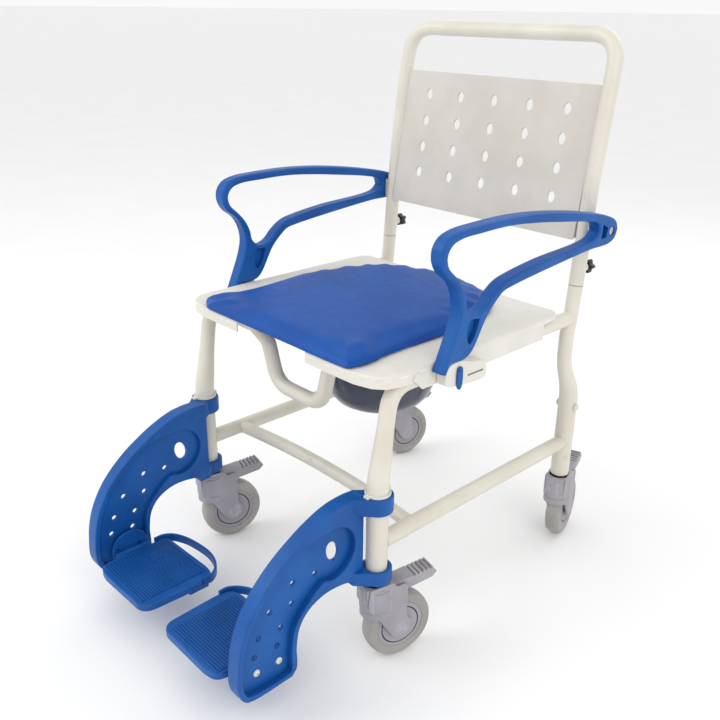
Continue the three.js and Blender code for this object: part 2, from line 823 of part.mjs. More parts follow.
function hanger() {
  const points = HANGER_OUTLINE.slice().reverse();
  const body = alongX(outline(points), HANGER_IN_X, HANGER_OUT_X, 1.5);
  const pocket = outline(inset(points, HANGER_RIM));
  const outer = alongX(pocket, HANGER_WEB_X[1], HANGER_OUT_X + 5);
  const inner = alongX(pocket, HANGER_IN_X - 5, HANGER_WEB_X[0]);
  const through = (points) => alongX(outline(points), HANGER_IN_X, HANGER_OUT_X);
  const holes = HANGER_HOLES.map(([y, z]) => through(ellipse(y, z, 5.2, 5.2, 10)));
  const handHole = through(ellipse(...CUTOUT, 12, 20, 16, 0.35));
  const screwHoles = SCREWS.map((at) => rod([HANGER_IN_X - 4, ...at], [HANGER_OUT_X, ...at], 3.2, 10));
  const collar = ([z0, z1]) =>
    united(
      rod([LEG_X, FRONT_LEG_Y, z0], [LEG_X, FRONT_LEG_Y, z1], COLLAR_OUT_R, 20),
      box([HANGER_IN_X + 3, -240, z0], [LEG_X, FRONT_LEG_Y - 12, z1]),
    );
  const bore = rod([LEG_X, FRONT_LEG_Y, 150], [LEG_X, FRONT_LEG_Y, 350], COLLAR_IN_R, 20);
  const plain = cut(body, outer, inner);
  const collared = united(plain, collar(UPPER_COLLAR_Z), collar(LOWER_COLLAR_Z));
  return cut(collared, bore, ...holes, handHole, ...screwHoles);
}
pair("footrest_hanger", hanger(), BLUE_PLASTIC);

// A clip ring on the leg keeps the upper collar down; its tab marks the straight-ahead position.
function clipRing() {
  const z0 = UPPER_COLLAR_Z[1] + GAP + 0.2;
  const ring = rod([LEG_X, FRONT_LEG_Y, z0], [LEG_X, FRONT_LEG_Y, z0 + 4], LEG_R + 3.5, 20);
  const tab = box([LEG_X - 5, FRONT_LEG_Y - LEG_R - 9, z0], [LEG_X + 5, FRONT_LEG_Y - LEG_R + 2, z0 + 4]);
  const catchTab = box([LEG_X - 4, FRONT_LEG_Y + LEG_R - 2, z0], [LEG_X + 4, FRONT_LEG_Y + LEG_R + 7, z0 + 5]);
  const bore = bar(rounded(FRONT_LEG_PATH, 5), (p) => legRadius(350, 450)(p) + GAP, 20);
  return cut(united(ring, tab, catchTab), bore);
}
pair("footrest_clip_ring", clipRing(), IVORY_PLASTIC);

// Hinge bracket on the hanger's inner face: a half-round cheek and one barrel.
const HINGE_X = 199;
const HINGE_Z = 89;
const CHEEK_IN_X = 206.5;
const HINGE_Y = [-446, -378];
const BARREL_R = 6.5;
function hingeBracket() {
  const cheekPoints = [];
  for (let k = 0; k <= 10; k++) {
    const angle = (Math.PI * k) / 10;
    cheekPoints.push([-412 + 37 * Math.cos(angle), 94 + 34 * Math.sin(angle)]);
  }
  const cheek = alongX(outline([...cheekPoints, [-449, 74], [-375, 74]]), CHEEK_IN_X, HANGER_IN_X - GAP, 1);
  const spacer = alongX(outline(ellipse(-412, 98, 26, 18, 14)), HANGER_IN_X - 3, HANGER_WEB_X[0] - GAP);
  const barrel = rod([HINGE_X, -430, HINGE_Z], [HINGE_X, -394, HINGE_Z], BARREL_R, 14);
  const web = box([HINGE_X, -430, HINGE_Z - 4], [CHEEK_IN_X + 2, -394, HINGE_Z + 5]);
  const bore = rod([HINGE_X, -460, HINGE_Z], [HINGE_X, -360, HINGE_Z], 3.4, 12);
  const screwHoles = SCREWS.map((at) => rod([HANGER_IN_X - 12, ...at], [HANGER_OUT_X, ...at], 3.2, 10));
  return cut(united(cheek, spacer, barrel, web), bore, ...screwHoles);
}
pair("foot_hinge_bracket", hingeBracket(), BLUE_PLASTIC);
pair(
  "foot_hinge_pin",
  rod([HINGE_X, HINGE_Y[0], HINGE_Z], [HINGE_X, HINGE_Y[1], HINGE_Z], 3, 12),
  STEEL,
);
SCREWS.forEach((at, i) =>
  pair(
    "hanger_screw_" + (i + 1),
    united(
      rod([CHEEK_IN_X + 1, ...at], [HANGER_WEB_X[1] + 2, ...at], 2.8, 8),
      rod([HANGER_WEB_X[1] + GAP, ...at], [HANGER_WEB_X[1] + 3.4, ...at], 6, 12),
    ),
    STEEL,
  ),
);

// ---------------------------------------------------------------- foot plates and heel loops
const PLATE_TOP_Z = 95;
const PLATE_THICKNESS = 15;
const PLATE_IN_X = 28;
const PLATE_OUT_X = 190;
const PLATE_FRONT_Y = -489;
const PLATE_REAR_Y = -343;
const PLATE_OUTLINE = [
  [PLATE_IN_X + 4, PLATE_FRONT_Y + 12],
  [PLATE_IN_X + 14, PLATE_FRONT_Y + 3],
  [PLATE_IN_X + 32, PLATE_FRONT_Y],
  [PLATE_OUT_X - 26, PLATE_FRONT_Y],
  [PLATE_OUT_X - 8, PLATE_FRONT_Y + 6],
  [PLATE_OUT_X, PLATE_FRONT_Y + 24],
  [PLATE_OUT_X, PLATE_REAR_Y - 10],
  [PLATE_OUT_X - 8, PLATE_REAR_Y],
  [PLATE_IN_X + 12, PLATE_REAR_Y],
  [PLATE_IN_X, PLATE_REAR_Y - 12],
  [PLATE_IN_X, PLATE_FRONT_Y + 26],
];
function footPlate() {
  const z0 = PLATE_TOP_Z - PLATE_THICKNESS;
  const deck = alongZ(outline(PLATE_OUTLINE), z0, PLATE_TOP_Z, 3);
  const underside = alongZ(outline(inset(PLATE_OUTLINE, 5)), z0 - 5, PLATE_TOP_Z - 6);
  const lug = (y0, y1) =>
    united(
      rod([HINGE_X, y0, HINGE_Z], [HINGE_X, y1, HINGE_Z], BARREL_R, 14),
      box([PLATE_OUT_X - 6, y0, HINGE_Z - 3], [HINGE_X, y1, HINGE_Z + 5.5]),
    );
  const rearSkirt = box([PLATE_IN_X + 1, PLATE_REAR_Y - 52, z0 - 8], [PLATE_IN_X + 6, PLATE_REAR_Y - 12, z0 + 6]);
  const bore = rod([HINGE_X, -460, HINGE_Z], [HINGE_X, -360, HINGE_Z], 3.4, 12);
  const tray = cut(deck, underside);
  const front = lug(HINGE_Y[0], -430 - GAP);
  const rear = lug(-394 + GAP, HINGE_Y[1]);
  return cut(united(tray, front, rear, rearSkirt), bore);
}
pair("foot_plate", footPlate(), BLUE_PLASTIC);

// The heel loop is a band behind the plate, from its outer side face round to its inner side face.
const LOOP_HALF_THICKNESS = 2.4;
const LOOP_Z = [83, 99];
const LOOP_LINE = [
  [PLATE_OUT_X + 3.2, -368],
  [PLATE_OUT_X + 3, -351],
  [184, -336],
  [160, -323],
  [124, -316],
  [84, -315],
  [54, -323],
  [35, -336],
  [PLATE_IN_X - 2.9, -351],
  [PLATE_IN_X - 3.1, -368],
];

// A band of even thickness along an open line.
function ribbon(line, half) {
  const side = (sign) =>
    line.map(([x, y], i) => {
      const [ax, ay] = line[Math.max(i - 1, 0)];
      const [bx, by] = line[Math.min(i + 1, line.length - 1)];
      const length = Math.hypot(bx - ax, by - ay);
      return [x + (sign * half * (by - ay)) / length, y - (sign * half * (bx - ax)) / length];
    });
  return [...side(1), ...side(-1).reverse()];
}

function heelLoop() {
  return alongZ(outline(ribbon(LOOP_LINE, LOOP_HALF_THICKNESS)), LOOP_Z[0], LOOP_Z[1], 0.8);
}
pair("heel_loop", heelLoop(), BLUE_PLASTIC);

// ---------------------------------------------------------------- casters
// Each caster is drawn about its swivel axis with the wheel trailing along +X, then turned and placed.
const PEDAL_PIVOT = [38, 142]; // x, z
const PEDAL_HALF_WIDTH = 15.5;
const HOUSING_OUTLINE = [
  [-22, HEAD_TOP_Z],
  [-24, 120],
  [-10, 102],
  [26, 48],
  [36, 42],
  [50, 43],
  [59, 54],
  [60, 70],
  [52, 84],
  [50, 148],
  [44, 152],
  [30, 152],
  [24, HEAD_TOP_Z],
];

function casterStem() {
  return turned(
    [
      [0, 128],
      [5, 128],
      [5, HEAD_TOP_Z + GAP],
      [17, HEAD_TOP_Z + GAP],
      [17, LEG_FOOT_Z - GAP],
      [STEM_BORE_R - GAP, LEG_FOOT_Z - GAP],
      [STEM_BORE_R - GAP, LEG_FOOT_Z + STEM_BORE_DEPTH - 2],
      [0, LEG_FOOT_Z + STEM_BORE_DEPTH - 2],
    ],
    10,
  );
}

function casterHousing() {
  const cheeks = alongY(outline(HOUSING_OUTLINE), -HOUSING_HALF_WIDTH, HOUSING_HALF_WIDTH, 2);
  const head = rod([0, 0, 126], [0, 0, HEAD_TOP_Z], HEAD_R, 18);
  const room = WHEEL_ROOM_HALF;
  const wheelRoom = rod([TRAIL, -room, WHEEL_R], [TRAIL, room, WHEEL_R], WHEEL_R + 3, 20);
  const pedalRoom = box([25.6, -room, 130.6], [80, room, 170]);
  const stemBoreHole = rod([0, 0, 127], [0, 0, 180], 5.5, 10);
  const pinHole = rod([PEDAL_PIVOT[0], -30, PEDAL_PIVOT[1]], [PEDAL_PIVOT[0], 30, PEDAL_PIVOT[1]], 3.5, 8);
  const axle = rod([TRAIL, -room - 2, WHEEL_R], [TRAIL, room + 2, WHEEL_R], 4.5, 8);
  return united(cut(united(cheeks, head), wheelRoom, pedalRoom, stemBoreHole, pinHole), axle);
}

function casterWheel() {
  const w = WHEEL_HALF_WIDTH;
  const side = [
    [5, -w + 2],
    [35, -w + 4],
    [38, -w + 1],
    [55, -w],
    [WHEEL_R, -5],
  ];
  const profile = [...side, ...side.map(([r, y]) => [r, -y]).reverse(), side[0]];
  return new THREE.LatheGeometry(
    profile.map(([r, y]) => new THREE.Vector2(r, y)),
    20,
  ).translate(TRAIL, 0, WHEEL_R);
}

function casterPedal() {
  const lever = alongY(
    outline([
      [27, 154],
      [27, 136],
      [34, 132],
      [60, 136],
      [104, 143],
      [113, 152],
      [104, 164],
    ]),
    -PEDAL_HALF_WIDTH,
    PEDAL_HALF_WIDTH,
    1.5,
  );
  const pin = rod([PEDAL_PIVOT[0], -21, PEDAL_PIVOT[1]], [PEDAL_PIVOT[0], 21, PEDAL_PIVOT[1]], 3, 8);
  const grooves = [];
  for (let i = 0; i < 5; i++) {
    const x = 66 + i * 8;
    grooves.push(box([x, -20, 154 + (x - 27) * 0.13 - 2.2], [x + 3, 20, 180]));
  }
  return united(cut(lever, ...grooves), pin);
}

const stem = casterStem();
const housing = casterHousing();
const wheel = casterWheel();
const pedal = casterPedal();
const CASTERS = [
  ["front_left", LEG_X, FRONT_LEG_Y, 75],
  ["front_right", -LEG_X, FRONT_LEG_Y, 75],
  ["rear_left", LEG_X, REAR_LEG_Y, 107],
  ["rear_right", -LEG_X, REAR_LEG_Y, 78],
];
for (const [place, x, y, swivel] of CASTERS) {
  const parts = [
    piece("caster_stem_" + place, stem, STEEL),
    piece("caster_housing_" + place, housing, GREY_PLASTIC),
    piece("caster_wheel_" + place, wheel, TYRE_GREY),
    piece("caster_pedal_" + place, pedal, GREY_PLASTIC),
  ];
  for (const part of parts) {
    part.rotation.z = THREE.MathUtils.degToRad(swivel);
    part.position.set(x, y, 0);
  }
}

const group = new THREE.Group();
group.name = "commode_chair";
group.add(assembly);

export default group;
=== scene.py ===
import json
import math

import bmesh
import bpy
from mathutils import Matrix, Vector


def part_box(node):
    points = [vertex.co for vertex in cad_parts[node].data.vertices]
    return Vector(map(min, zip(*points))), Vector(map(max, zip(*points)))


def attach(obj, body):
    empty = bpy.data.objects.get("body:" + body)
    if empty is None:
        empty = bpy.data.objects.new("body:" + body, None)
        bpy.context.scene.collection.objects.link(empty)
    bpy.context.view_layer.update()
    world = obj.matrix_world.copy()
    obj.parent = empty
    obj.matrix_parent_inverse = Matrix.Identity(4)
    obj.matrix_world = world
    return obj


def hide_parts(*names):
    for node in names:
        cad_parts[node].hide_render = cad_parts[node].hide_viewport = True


# %% [markdown]
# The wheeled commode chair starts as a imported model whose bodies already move. Its tubes are coarse there,
# because that model only has to carry loads and turn on its pivots. This lesson dresses it: each piece is
# made again at the same place with round tubes, rolled edges and a real finish, and rides on the same body.

# %% Load the working model and keep its box
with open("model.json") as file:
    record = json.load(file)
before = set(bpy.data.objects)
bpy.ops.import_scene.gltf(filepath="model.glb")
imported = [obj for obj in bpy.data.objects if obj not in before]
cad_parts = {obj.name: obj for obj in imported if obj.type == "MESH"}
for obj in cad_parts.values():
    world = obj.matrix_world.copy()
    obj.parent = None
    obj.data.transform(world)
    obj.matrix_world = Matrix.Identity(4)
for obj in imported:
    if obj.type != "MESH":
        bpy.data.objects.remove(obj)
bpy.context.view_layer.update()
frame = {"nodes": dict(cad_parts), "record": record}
RECORD = frame["record"]
BODY_OF = {node: body for body, nodes in RECORD["behaviour"]["bodies"].items() for node in nodes}

# %% [markdown]
# Lengths below are millimetres with the front legs at y = -200, as on a workshop drawing. One matrix turns
# them into metres in the model's own frame. It is worked out from the front caster stem, so that the
# drawing follows the model if that ever moves.

# %% The drawing frame
MM = 0.001
stem_low, stem_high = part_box("caster_stem_front_left")
LEG_X = (stem_low.x + stem_high.x) / 2 / MM
FRONT_LEG_Y = -200.0
REAR_LEG_Y = 333.0
SHIFT_Y = (stem_low.y + stem_high.y) / 2 - FRONT_LEG_Y * MM
DRAWING = Matrix.Translation((0, SHIFT_Y, 0)) @ Matrix.Scale(MM, 4)
print("leg axis at x", round(LEG_X, 2), "mm, drawing shifted by", round(SHIFT_Y / MM, 2), "mm")

# %% [markdown]
# A finish is a node material. One method makes any node from its type, its settings and its inputs, and a
# small class wraps an output so that sums and products of masks read as ordinary arithmetic.


# %% A wrapped socket and the material maker
class Signal:
    """An output of a node, with + - * that add Math nodes."""

    def __init__(self, finish, socket):
        self.finish = finish
        self.socket = socket

    def _math(self, operation, first, second):
        return self.finish.node("Math", {"operation": operation}, {0: first, 1: second})

    def __add__(self, other):
        return self._math("ADD", self, other)

    def __sub__(self, other):
        return self._math("SUBTRACT", self, other)

    def __mul__(self, other):
        return self._math("MULTIPLY", self, other)

    def __rsub__(self, other):
        return self._math("SUBTRACT", other, self)

    __radd__ = __add__
    __rmul__ = __mul__


class Finish:
    """A Principled material; constants go on the shader, and what varies is linked to it."""

    def __init__(self, name, **constants):
        self.material = bpy.data.materials.new(name)
        self.material.use_nodes = True
        self.tree = self.material.node_tree
        self.shader = self.tree.nodes["Principled BSDF"]
        for socket, value in constants.items():
            self.shader.inputs[socket.replace("_", " ")].default_value = value
        self.place = self.node("TexCoord", output="Object")
        self.normal = None

    def node(self, kind, settings=None, inputs=None, output=0):
        made = self.tree.nodes.new("ShaderNode" + kind)
        for name, value in (settings or {}).items():
            setattr(made, name, value)
        for key, value in (inputs or {}).items():
            if isinstance(value, Signal):
                self.tree.links.new(value.socket, made.inputs[key])
            else:
                made.inputs[key].default_value = value
        return Signal(self, made.outputs[output])

    def drive(self, socket, signal):
        self.tree.links.new(signal.socket, self.shader.inputs[socket])

    def noise(self, scale, detail=3.0, roughness=0.55):
        inputs = {"Vector": self.place, "Scale": scale, "Detail": detail, "Roughness": roughness}
        return self.node("TexNoise", {}, inputs)

    def band(self, signal, low, high):
        """0 below low, 1 above high, smooth between."""
        settings = {"interpolation_type": "SMOOTHSTEP"}
        return self.node("MapRange", settings, {"Value": signal, "From Min": low, "From Max": high})

    def mix(self, factor, first, second):
        return self.node("Mix", {"data_type": "RGBA"}, {0: factor, 6: first, 7: second}, output=2)

    def bump(self, height, strength, distance):
        inputs = {"Height": height, "Strength": strength, "Distance": distance}
        if self.normal is not None:
            inputs["Normal"] = self.normal
        self.normal = self.node("Bump", {}, inputs)
        self.drive("Normal", self.normal)

    def edges(self, distance=0.003):
        """A mask that is high along outside edges: little solid lies behind them."""
        settings = {"inside": True, "only_local": True, "samples": 6}
        hidden = self.node("AmbientOcclusion", settings, {"Distance": distance}, output="AO")
        return self.band(hidden, 0.45, 0.95)

    # Painted shade: a mask that is high in creases and between parts, where nearby solid hides the sky.
    def crevice_shade(self, distance=0.012):
        settings = {"inside": False, "only_local": True, "samples": 6}
        hidden = self.node("AmbientOcclusion", settings, {"Distance": distance}, output="AO")
        return 1.0 - self.band(hidden, 0.2, 0.85)


# %% [markdown]
# The frame is powder coated: a baked ivory skin with a faint orange peel, a satin gloss and a little grime
# low on the legs. The seat and the small clips are moulded in a near match, with a finer grain and less
# gloss, and the back panel is a shade greyer.


# %% Ivory powder coat and ivory mouldings
def powder_coat():
    f = Finish("ivory_powder_coat", Metallic=0.0, Coat_Roughness=0.3)
    tone = f.noise(9, 2)
    shade = f.mix(f.band(tone, 0.35, 0.65), (0.655, 0.618, 0.527, 1), (0.7, 0.665, 0.578, 1))
    low = 1.0 - f.band(f.node("SeparateXYZ", {}, {"Vector": f.place}, output="Z"), 0.16, 0.34)
    grime = low * f.band(f.noise(60, 5), 0.5, 0.75)
    shade = f.mix(grime * 0.35, shade, (0.4, 0.37, 0.32, 1))
    # Painted shade: the colour darkens in creases and where parts meet.
    f.drive("Base Color", f.mix(f.crevice_shade() * 0.5, shade, (0.34, 0.31, 0.26, 1)))
    f.drive("Roughness", f.noise(30, 4) * 0.12 + 0.3)
    f.drive("Coat Weight", f.band(tone, 0.2, 0.9) * 0.25)
    f.bump(f.noise(900, 2), 0.12, 0.0004)
    return f.material


def moulding(name, deep, light, grain=1400, gloss=0.42, edge=None, shine=0.5):
    f = Finish(name, Specular_IOR_Level=shine)
    tone = f.noise(12, 3)
    shade = f.mix(f.band(tone, 0.3, 0.7), (*deep, 1), (*light, 1))
    worn = edge or tuple(min(1.0, c * 1.35 + 0.02) for c in light)
    shade = f.mix((1.0 - f.edges(0.0012)) * f.band(f.noise(70, 4), 0.35, 0.65) * 0.45, shade, (*worn, 1))
    # Painted shade: the colour darkens in creases and where parts meet.
    f.drive("Base Color", f.mix(f.crevice_shade() * 0.4, shade, (*(c * 0.45 for c in deep), 1)))
    f.drive("Roughness", f.noise(45, 4) * 0.14 + (gloss - 0.05))
    f.bump(f.noise(grain, 2), 0.22, 0.0003)
    f.bump(f.noise(35, 2), 0.12, 0.0015)
    return f.material


POWDER_COAT = powder_coat()
IVORY_PLASTIC = moulding("ivory_plastic", (0.69, 0.665, 0.6), (0.745, 0.72, 0.655), gloss=0.45)
PANEL_PLASTIC = moulding("panel_plastic", (0.575, 0.54, 0.485), (0.625, 0.59, 0.535), grain=1100, gloss=0.5)

# %% [markdown]
# The armrests, hangers and foot plates are one deep blue, moulded with a fine spark-eroded grain that
# breaks up the highlights. The casters are a slightly purple grey, their tyres a warmer one that marks.

# %% Blue, grey and black mouldings
BLUE_PLASTIC = moulding(
    "blue_plastic", (0.004, 0.075, 0.3), (0.008, 0.1, 0.37), gloss=0.38, edge=(0.03, 0.14, 0.46), shine=0.25
)
GREY_PLASTIC = moulding("grey_plastic", (0.295, 0.283, 0.312), (0.36, 0.348, 0.378), gloss=0.48)
BLACK_PLASTIC = moulding("black_plastic", (0.008, 0.008, 0.009), (0.014, 0.014, 0.016), gloss=0.4)
# Painted shade: a near-black finish for the ring set in the caster wheels' gap, where it stands for shadow.
PAINTED_GAP_SHADE = moulding("shadow_gap", (0.012, 0.012, 0.014), (0.02, 0.02, 0.022), gloss=0.6)


def tread():
    f = Finish("grey_tread", Specular_IOR_Level=0.35)
    shade = f.mix(f.band(f.noise(20, 4), 0.3, 0.7), (0.3, 0.285, 0.268, 1), (0.37, 0.353, 0.335, 1))
    scuffs = f.band(f.noise(160, 5, 0.7), 0.56, 0.7)
    f.drive("Base Color", f.mix(scuffs * 0.4, shade, (0.21, 0.2, 0.19, 1)))
    f.drive("Roughness", scuffs * 0.15 + 0.55)
    f.bump(f.noise(420, 4), 0.3, 0.0005)
    return f.material


TREAD = tread()


# %% [markdown]
# The cushion is integral-skin foam: the skin is smooth, with a soft leather-like grain that only shows in
# the highlight. The pan is smoked plastic that lets a little light through, and the fasteners are zinc
# plated, brushed by their making.


# %% Cushion skin, smoked pan and zinc plate
def cushion_skin():
    f = Finish("blue_cushion_skin", Specular_IOR_Level=0.22)
    shade = f.mix(f.band(f.noise(7, 3), 0.3, 0.7), (0.001, 0.06, 0.3, 1), (0.003, 0.08, 0.37, 1))
    f.drive("Base Color", f.mix(f.band(f.noise(240, 4), 0.55, 0.8) * 0.3, shade, (0.006, 0.095, 0.42, 1)))
    f.drive("Roughness", f.noise(60, 4) * 0.16 + 0.36)
    inputs = {"Vector": f.place, "Scale": 620.0}
    cells = f.node("TexVoronoi", {"feature": "DISTANCE_TO_EDGE"}, inputs, "Distance")
    f.bump(f.band(cells, 0.0, 0.25), 0.1, 0.0003)
    f.bump(f.noise(28, 3), 0.15, 0.002)
    return f.material


def smoked_plastic():
    f = Finish("smoked_plastic", Transmission_Weight=0.35, IOR=1.5)
    shade = f.mix(f.band(f.noise(14, 3), 0.3, 0.7), (0.06, 0.075, 0.115, 1), (0.085, 0.1, 0.145, 1))
    f.drive("Base Color", shade)
    f.drive("Roughness", f.noise(50, 4) * 0.14 + 0.12)
    f.bump(f.noise(200, 2), 0.06, 0.0006)
    return f.material


def zinc_plate():
    f = Finish("zinc_plate", Metallic=1.0)
    streaks = f.noise(700, 3, 0.7)
    shade = f.mix(f.band(f.noise(90, 3), 0.3, 0.7), (0.55, 0.55, 0.56, 1), (0.72, 0.72, 0.71, 1))
    f.drive("Base Color", shade)
    f.drive("Roughness", streaks * 0.25 + 0.2)
    f.bump(streaks, 0.1, 0.0003)
    return f.material


CUSHION_SKIN = cushion_skin()
SMOKED_PLASTIC = smoked_plastic()
ZINC_PLATE = zinc_plate()
print("finishes:", sorted(m.name for m in bpy.data.materials))

# %% [markdown]
# Every new piece ends the same way: its drawing becomes metres, its curved faces are shaded smooth with
# hard edges kept, and it rides on the body of the node that it stands for. Left and right pieces are drawn
# once, on the sitter's left, and mirrored.

# %% Finishing a piece
HARD_EDGE = math.radians(38)


def finished(node, bm, *finishes):
    bmesh.ops.transform(bm, matrix=DRAWING, verts=bm.verts)
    for face in bm.faces:
        face.smooth = True
    for edge in bm.edges:
        edge.smooth = len(edge.link_faces) == 2 and edge.calc_face_angle(0) < HARD_EDGE
    mesh = bpy.data.meshes.new(node + "_finished")
    bm.to_mesh(mesh)
    bm.free()
    for finish in finishes:
        mesh.materials.append(finish)
    piece = bpy.data.objects.new(node + "_finished", mesh)
    bpy.context.scene.collection.objects.link(piece)
    weighted = piece.modifiers.new("even_normals", "WEIGHTED_NORMAL")
    weighted.keep_sharp = True
    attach(piece, BODY_OF[node])
    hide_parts(node)
    return piece


def pair(name, draw, *finishes):
    finished("left_" + name, draw(), *finishes)
    other = draw()
    bmesh.ops.scale(other, vec=(-1, 1, 1), verts=other.verts)
    bmesh.ops.reverse_faces(other, faces=other.faces)
    finished("right_" + name, other, *finishes)


def joined(*parts):
    whole = bmesh.new()
    for part in parts:
        mesh = bpy.data.meshes.new("joining")
        part.to_mesh(mesh)
        part.free()
        whole.from_mesh(mesh)
        bpy.data.meshes.remove(mesh)
    return whole


def painted(bm, index):
    for face in bm.faces:
        face.material_index = index
    return bm


# %% [markdown]
# A tube is a curve with a round bevel: the path's corners are rounded as a bender would, and the radius may
# change along it, which is how the legs taper. It is made a mesh at once, so that the export sees plain
# faces.


# %% Bent and tapered tubes
def bent(corners, steps=10):
    """A path through [x, y, z, radius] corners, each inner corner rounded."""
    points = [Vector(corners[0][:3])]
    for before, corner, after in zip(corners, corners[1:], corners[2:]):
        at = Vector(corner[:3])
        back = (Vector(before[:3]) - at).normalized()
        on = (Vector(after[:3]) - at).normalized()
        reach = corner[3] / math.tan(back.angle(on) / 2)
        start, end = at + back * reach, at + on * reach
        for i in range(steps + 1):
            t = i / steps
            points.append(start * (1 - t) ** 2 + at * 2 * t * (1 - t) + end * t**2)
    points.append(Vector(corners[-1][:3]))
    return points


def refilled(points, longest=14.0):
    """The same path with points no further apart than longest, so that a taper is even."""
    filled = [points[0]]
    for a, b in zip(points, points[1:]):
        count = max(1, math.ceil((b - a).length / longest))
        filled += [a.lerp(b, (i + 1) / count) for i in range(count)]
    return filled


def tube(points, radius_at, around=9):
    curve = bpy.data.curves.new("bending", "CURVE")
    curve.dimensions = "3D"
    curve.bevel_depth = 1.0
    curve.bevel_resolution = around
    curve.use_fill_caps = True
    spline = curve.splines.new("POLY")
    spline.points.add(len(points) - 1)
    for item, p in zip(spline.points, points):
        item.co = (*p, 1)
        item.radius = radius_at(p)
    holder = bpy.data.objects.new("bending", curve)
    bpy.context.scene.collection.objects.link(holder)
    mesh = bpy.data.meshes.new_from_object(holder.evaluated_get(bpy.context.evaluated_depsgraph_get()))
    bm = bmesh.new()
    bm.from_mesh(mesh)
    bmesh.ops.remove_doubles(bm, verts=bm.verts, dist=0.01)
    bmesh.ops.recalc_face_normals(bm, faces=bm.faces)
    bpy.data.objects.remove(holder)
    bpy.data.curves.remove(curve)
    bpy.data.meshes.remove(mesh)
    return bm


def rod(start, end, radius):
    return tube([Vector(start), Vector(end)], lambda p: radius)


# %% [markdown]
# Round parts such as the pan, the casters' heads and the wheels are turned: a profile of radius and height
# is spun about an axis. Flat mouldings are sawn from a slab: their outline is filled, extruded and its rims
# rolled over with a bevel.


# %% Turned parts
def turned(profile, segments=64, closed=False):
    bm = bmesh.new()
    verts = [bm.verts.new((r, 0, z)) for r, z in profile]
    ends = list(zip(verts, verts[1:])) + ([(verts[-1], verts[0])] if closed else [])
    edges = [bm.edges.new(pair_of) for pair_of in ends]
    bmesh.ops.spin(
        bm,
        geom=verts + edges,
        cent=(0, 0, 0),
        axis=(0, 0, 1),
        angle=2 * math.pi,
        steps=segments,
        use_merge=True,
    )
    bmesh.ops.remove_doubles(bm, verts=bm.verts, dist=0.01)
    bmesh.ops.recalc_face_normals(bm, faces=bm.faces)
    return bm


def moved(bm, matrix):
    bmesh.ops.transform(bm, matrix=matrix, verts=bm.verts)
    return bm


ALONG = {
    "x": Matrix(((0, 0, 1), (1, 0, 0), (0, 1, 0))).to_4x4(),
    "y": Matrix(((0, 1, 0), (0, 0, 1), (1, 0, 0))).to_4x4(),
    "z": Matrix.Identity(4),
}


# %% Slabs sawn from an outline
def slab(outlines, axis, low, high, roll=0.0, steps=4):
    """Outlines are (y, z) along x, (z, x) along y and (x, y) along z; all but the first are holes."""
    bm = bmesh.new()
    rim = []
    for outline in outlines:
        verts = [bm.verts.new((a, b, low)) for a, b in outline]
        rim += [bm.edges.new((verts[i - 1], verts[i])) for i in range(len(verts))]
    bmesh.ops.triangle_fill(bm, use_beauty=True, use_dissolve=True, edges=rim)
    grown = bmesh.ops.extrude_face_region(bm, geom=bm.faces[:])["geom"]
    top = [g for g in grown if isinstance(g, bmesh.types.BMVert)]
    bmesh.ops.translate(bm, verts=top, vec=(0, 0, high - low))
    bmesh.ops.recalc_face_normals(bm, faces=bm.faces)
    if roll:
        rims = [
            e
            for e in bm.edges
            if abs(e.verts[0].co.z - e.verts[1].co.z) < 1e-4 and e.calc_face_angle(0) > math.radians(60)
        ]
        bmesh.ops.bevel(
            bm,
            geom=rims,
            offset=roll,
            offset_type="OFFSET",
            affect="EDGES",
            segments=steps,
            profile=0.5,
            material=-1,
            clamp_overlap=False,
        )
    return moved(bm, ALONG[axis])


def oval(a, b, radius_a, radius_b, count=28, turn=0.0):
    c, s = math.cos(turn), math.sin(turn)
    points = []
    for k in range(count):
        angle = 2 * math.pi * k / count
        u, v = radius_a * math.cos(angle), radius_b * math.sin(angle)
        points.append((a + u * c - v * s, b + u * s + v * c))
    return points


# %% [markdown]
# The mouldings' outlines are already in the working model. A cut through one of its nodes gives them back,
# as coarse loops. Where a loop turns gently it stands for a curve, and a Catmull-Rom spline through its
# points rounds it off; where it turns hard the real piece has a corner, which is kept.


# %% Reading an outline from the working model
def section(node, axis, at, place=None):
    """The closed loops where a plane cuts a node, largest first, in the slab's own two coordinates."""
    bm = bmesh.new()
    bm.from_mesh(frame["nodes"][node].data)
    to_drawing = ALONG[axis].inverted() @ (place or Matrix.Identity(4)) @ DRAWING.inverted()
    bmesh.ops.transform(bm, matrix=to_drawing, verts=bm.verts)
    bmesh.ops.remove_doubles(bm, verts=bm.verts, dist=0.02)
    bmesh.ops.dissolve_limit(bm, angle_limit=math.radians(0.6), verts=bm.verts, edges=bm.edges)
    everything = bm.verts[:] + bm.edges[:] + bm.faces[:]
    cut = bmesh.ops.bisect_plane(bm, geom=everything, dist=1e-4, plane_co=(0, 0, at), plane_no=(0, 0, 1))
    edges = {g for g in cut["geom_cut"] if isinstance(g, bmesh.types.BMEdge)}
    loops = []
    while edges:
        edge = edges.pop()
        walk = [edge.verts[0], edge.verts[1]]
        while True:
            onward = next((e for e in walk[-1].link_edges if e in edges), None)
            if onward is None:
                break
            edges.discard(onward)
            walk.append(onward.other_vert(walk[-1]))
        if walk[0] == walk[-1]:
            walk.pop()
        loops.append(tidy_loop([(v.co.x, v.co.y) for v in walk]))
    bm.free()
    loops = [loop for loop in loops if len(loop) > 2]
    return sorted(loops, key=lambda loop: -abs(area(loop)))


def area(loop):
    return sum(a[0] * b[1] - b[0] * a[1] for a, b in zip(loop, loop[1:] + loop[:1])) / 2


def turn_at(before, at, after):
    a = math.atan2(at[1] - before[1], at[0] - before[0])
    b = math.atan2(after[1] - at[1], after[0] - at[0])
    return abs((b - a + math.pi) % (2 * math.pi) - math.pi)


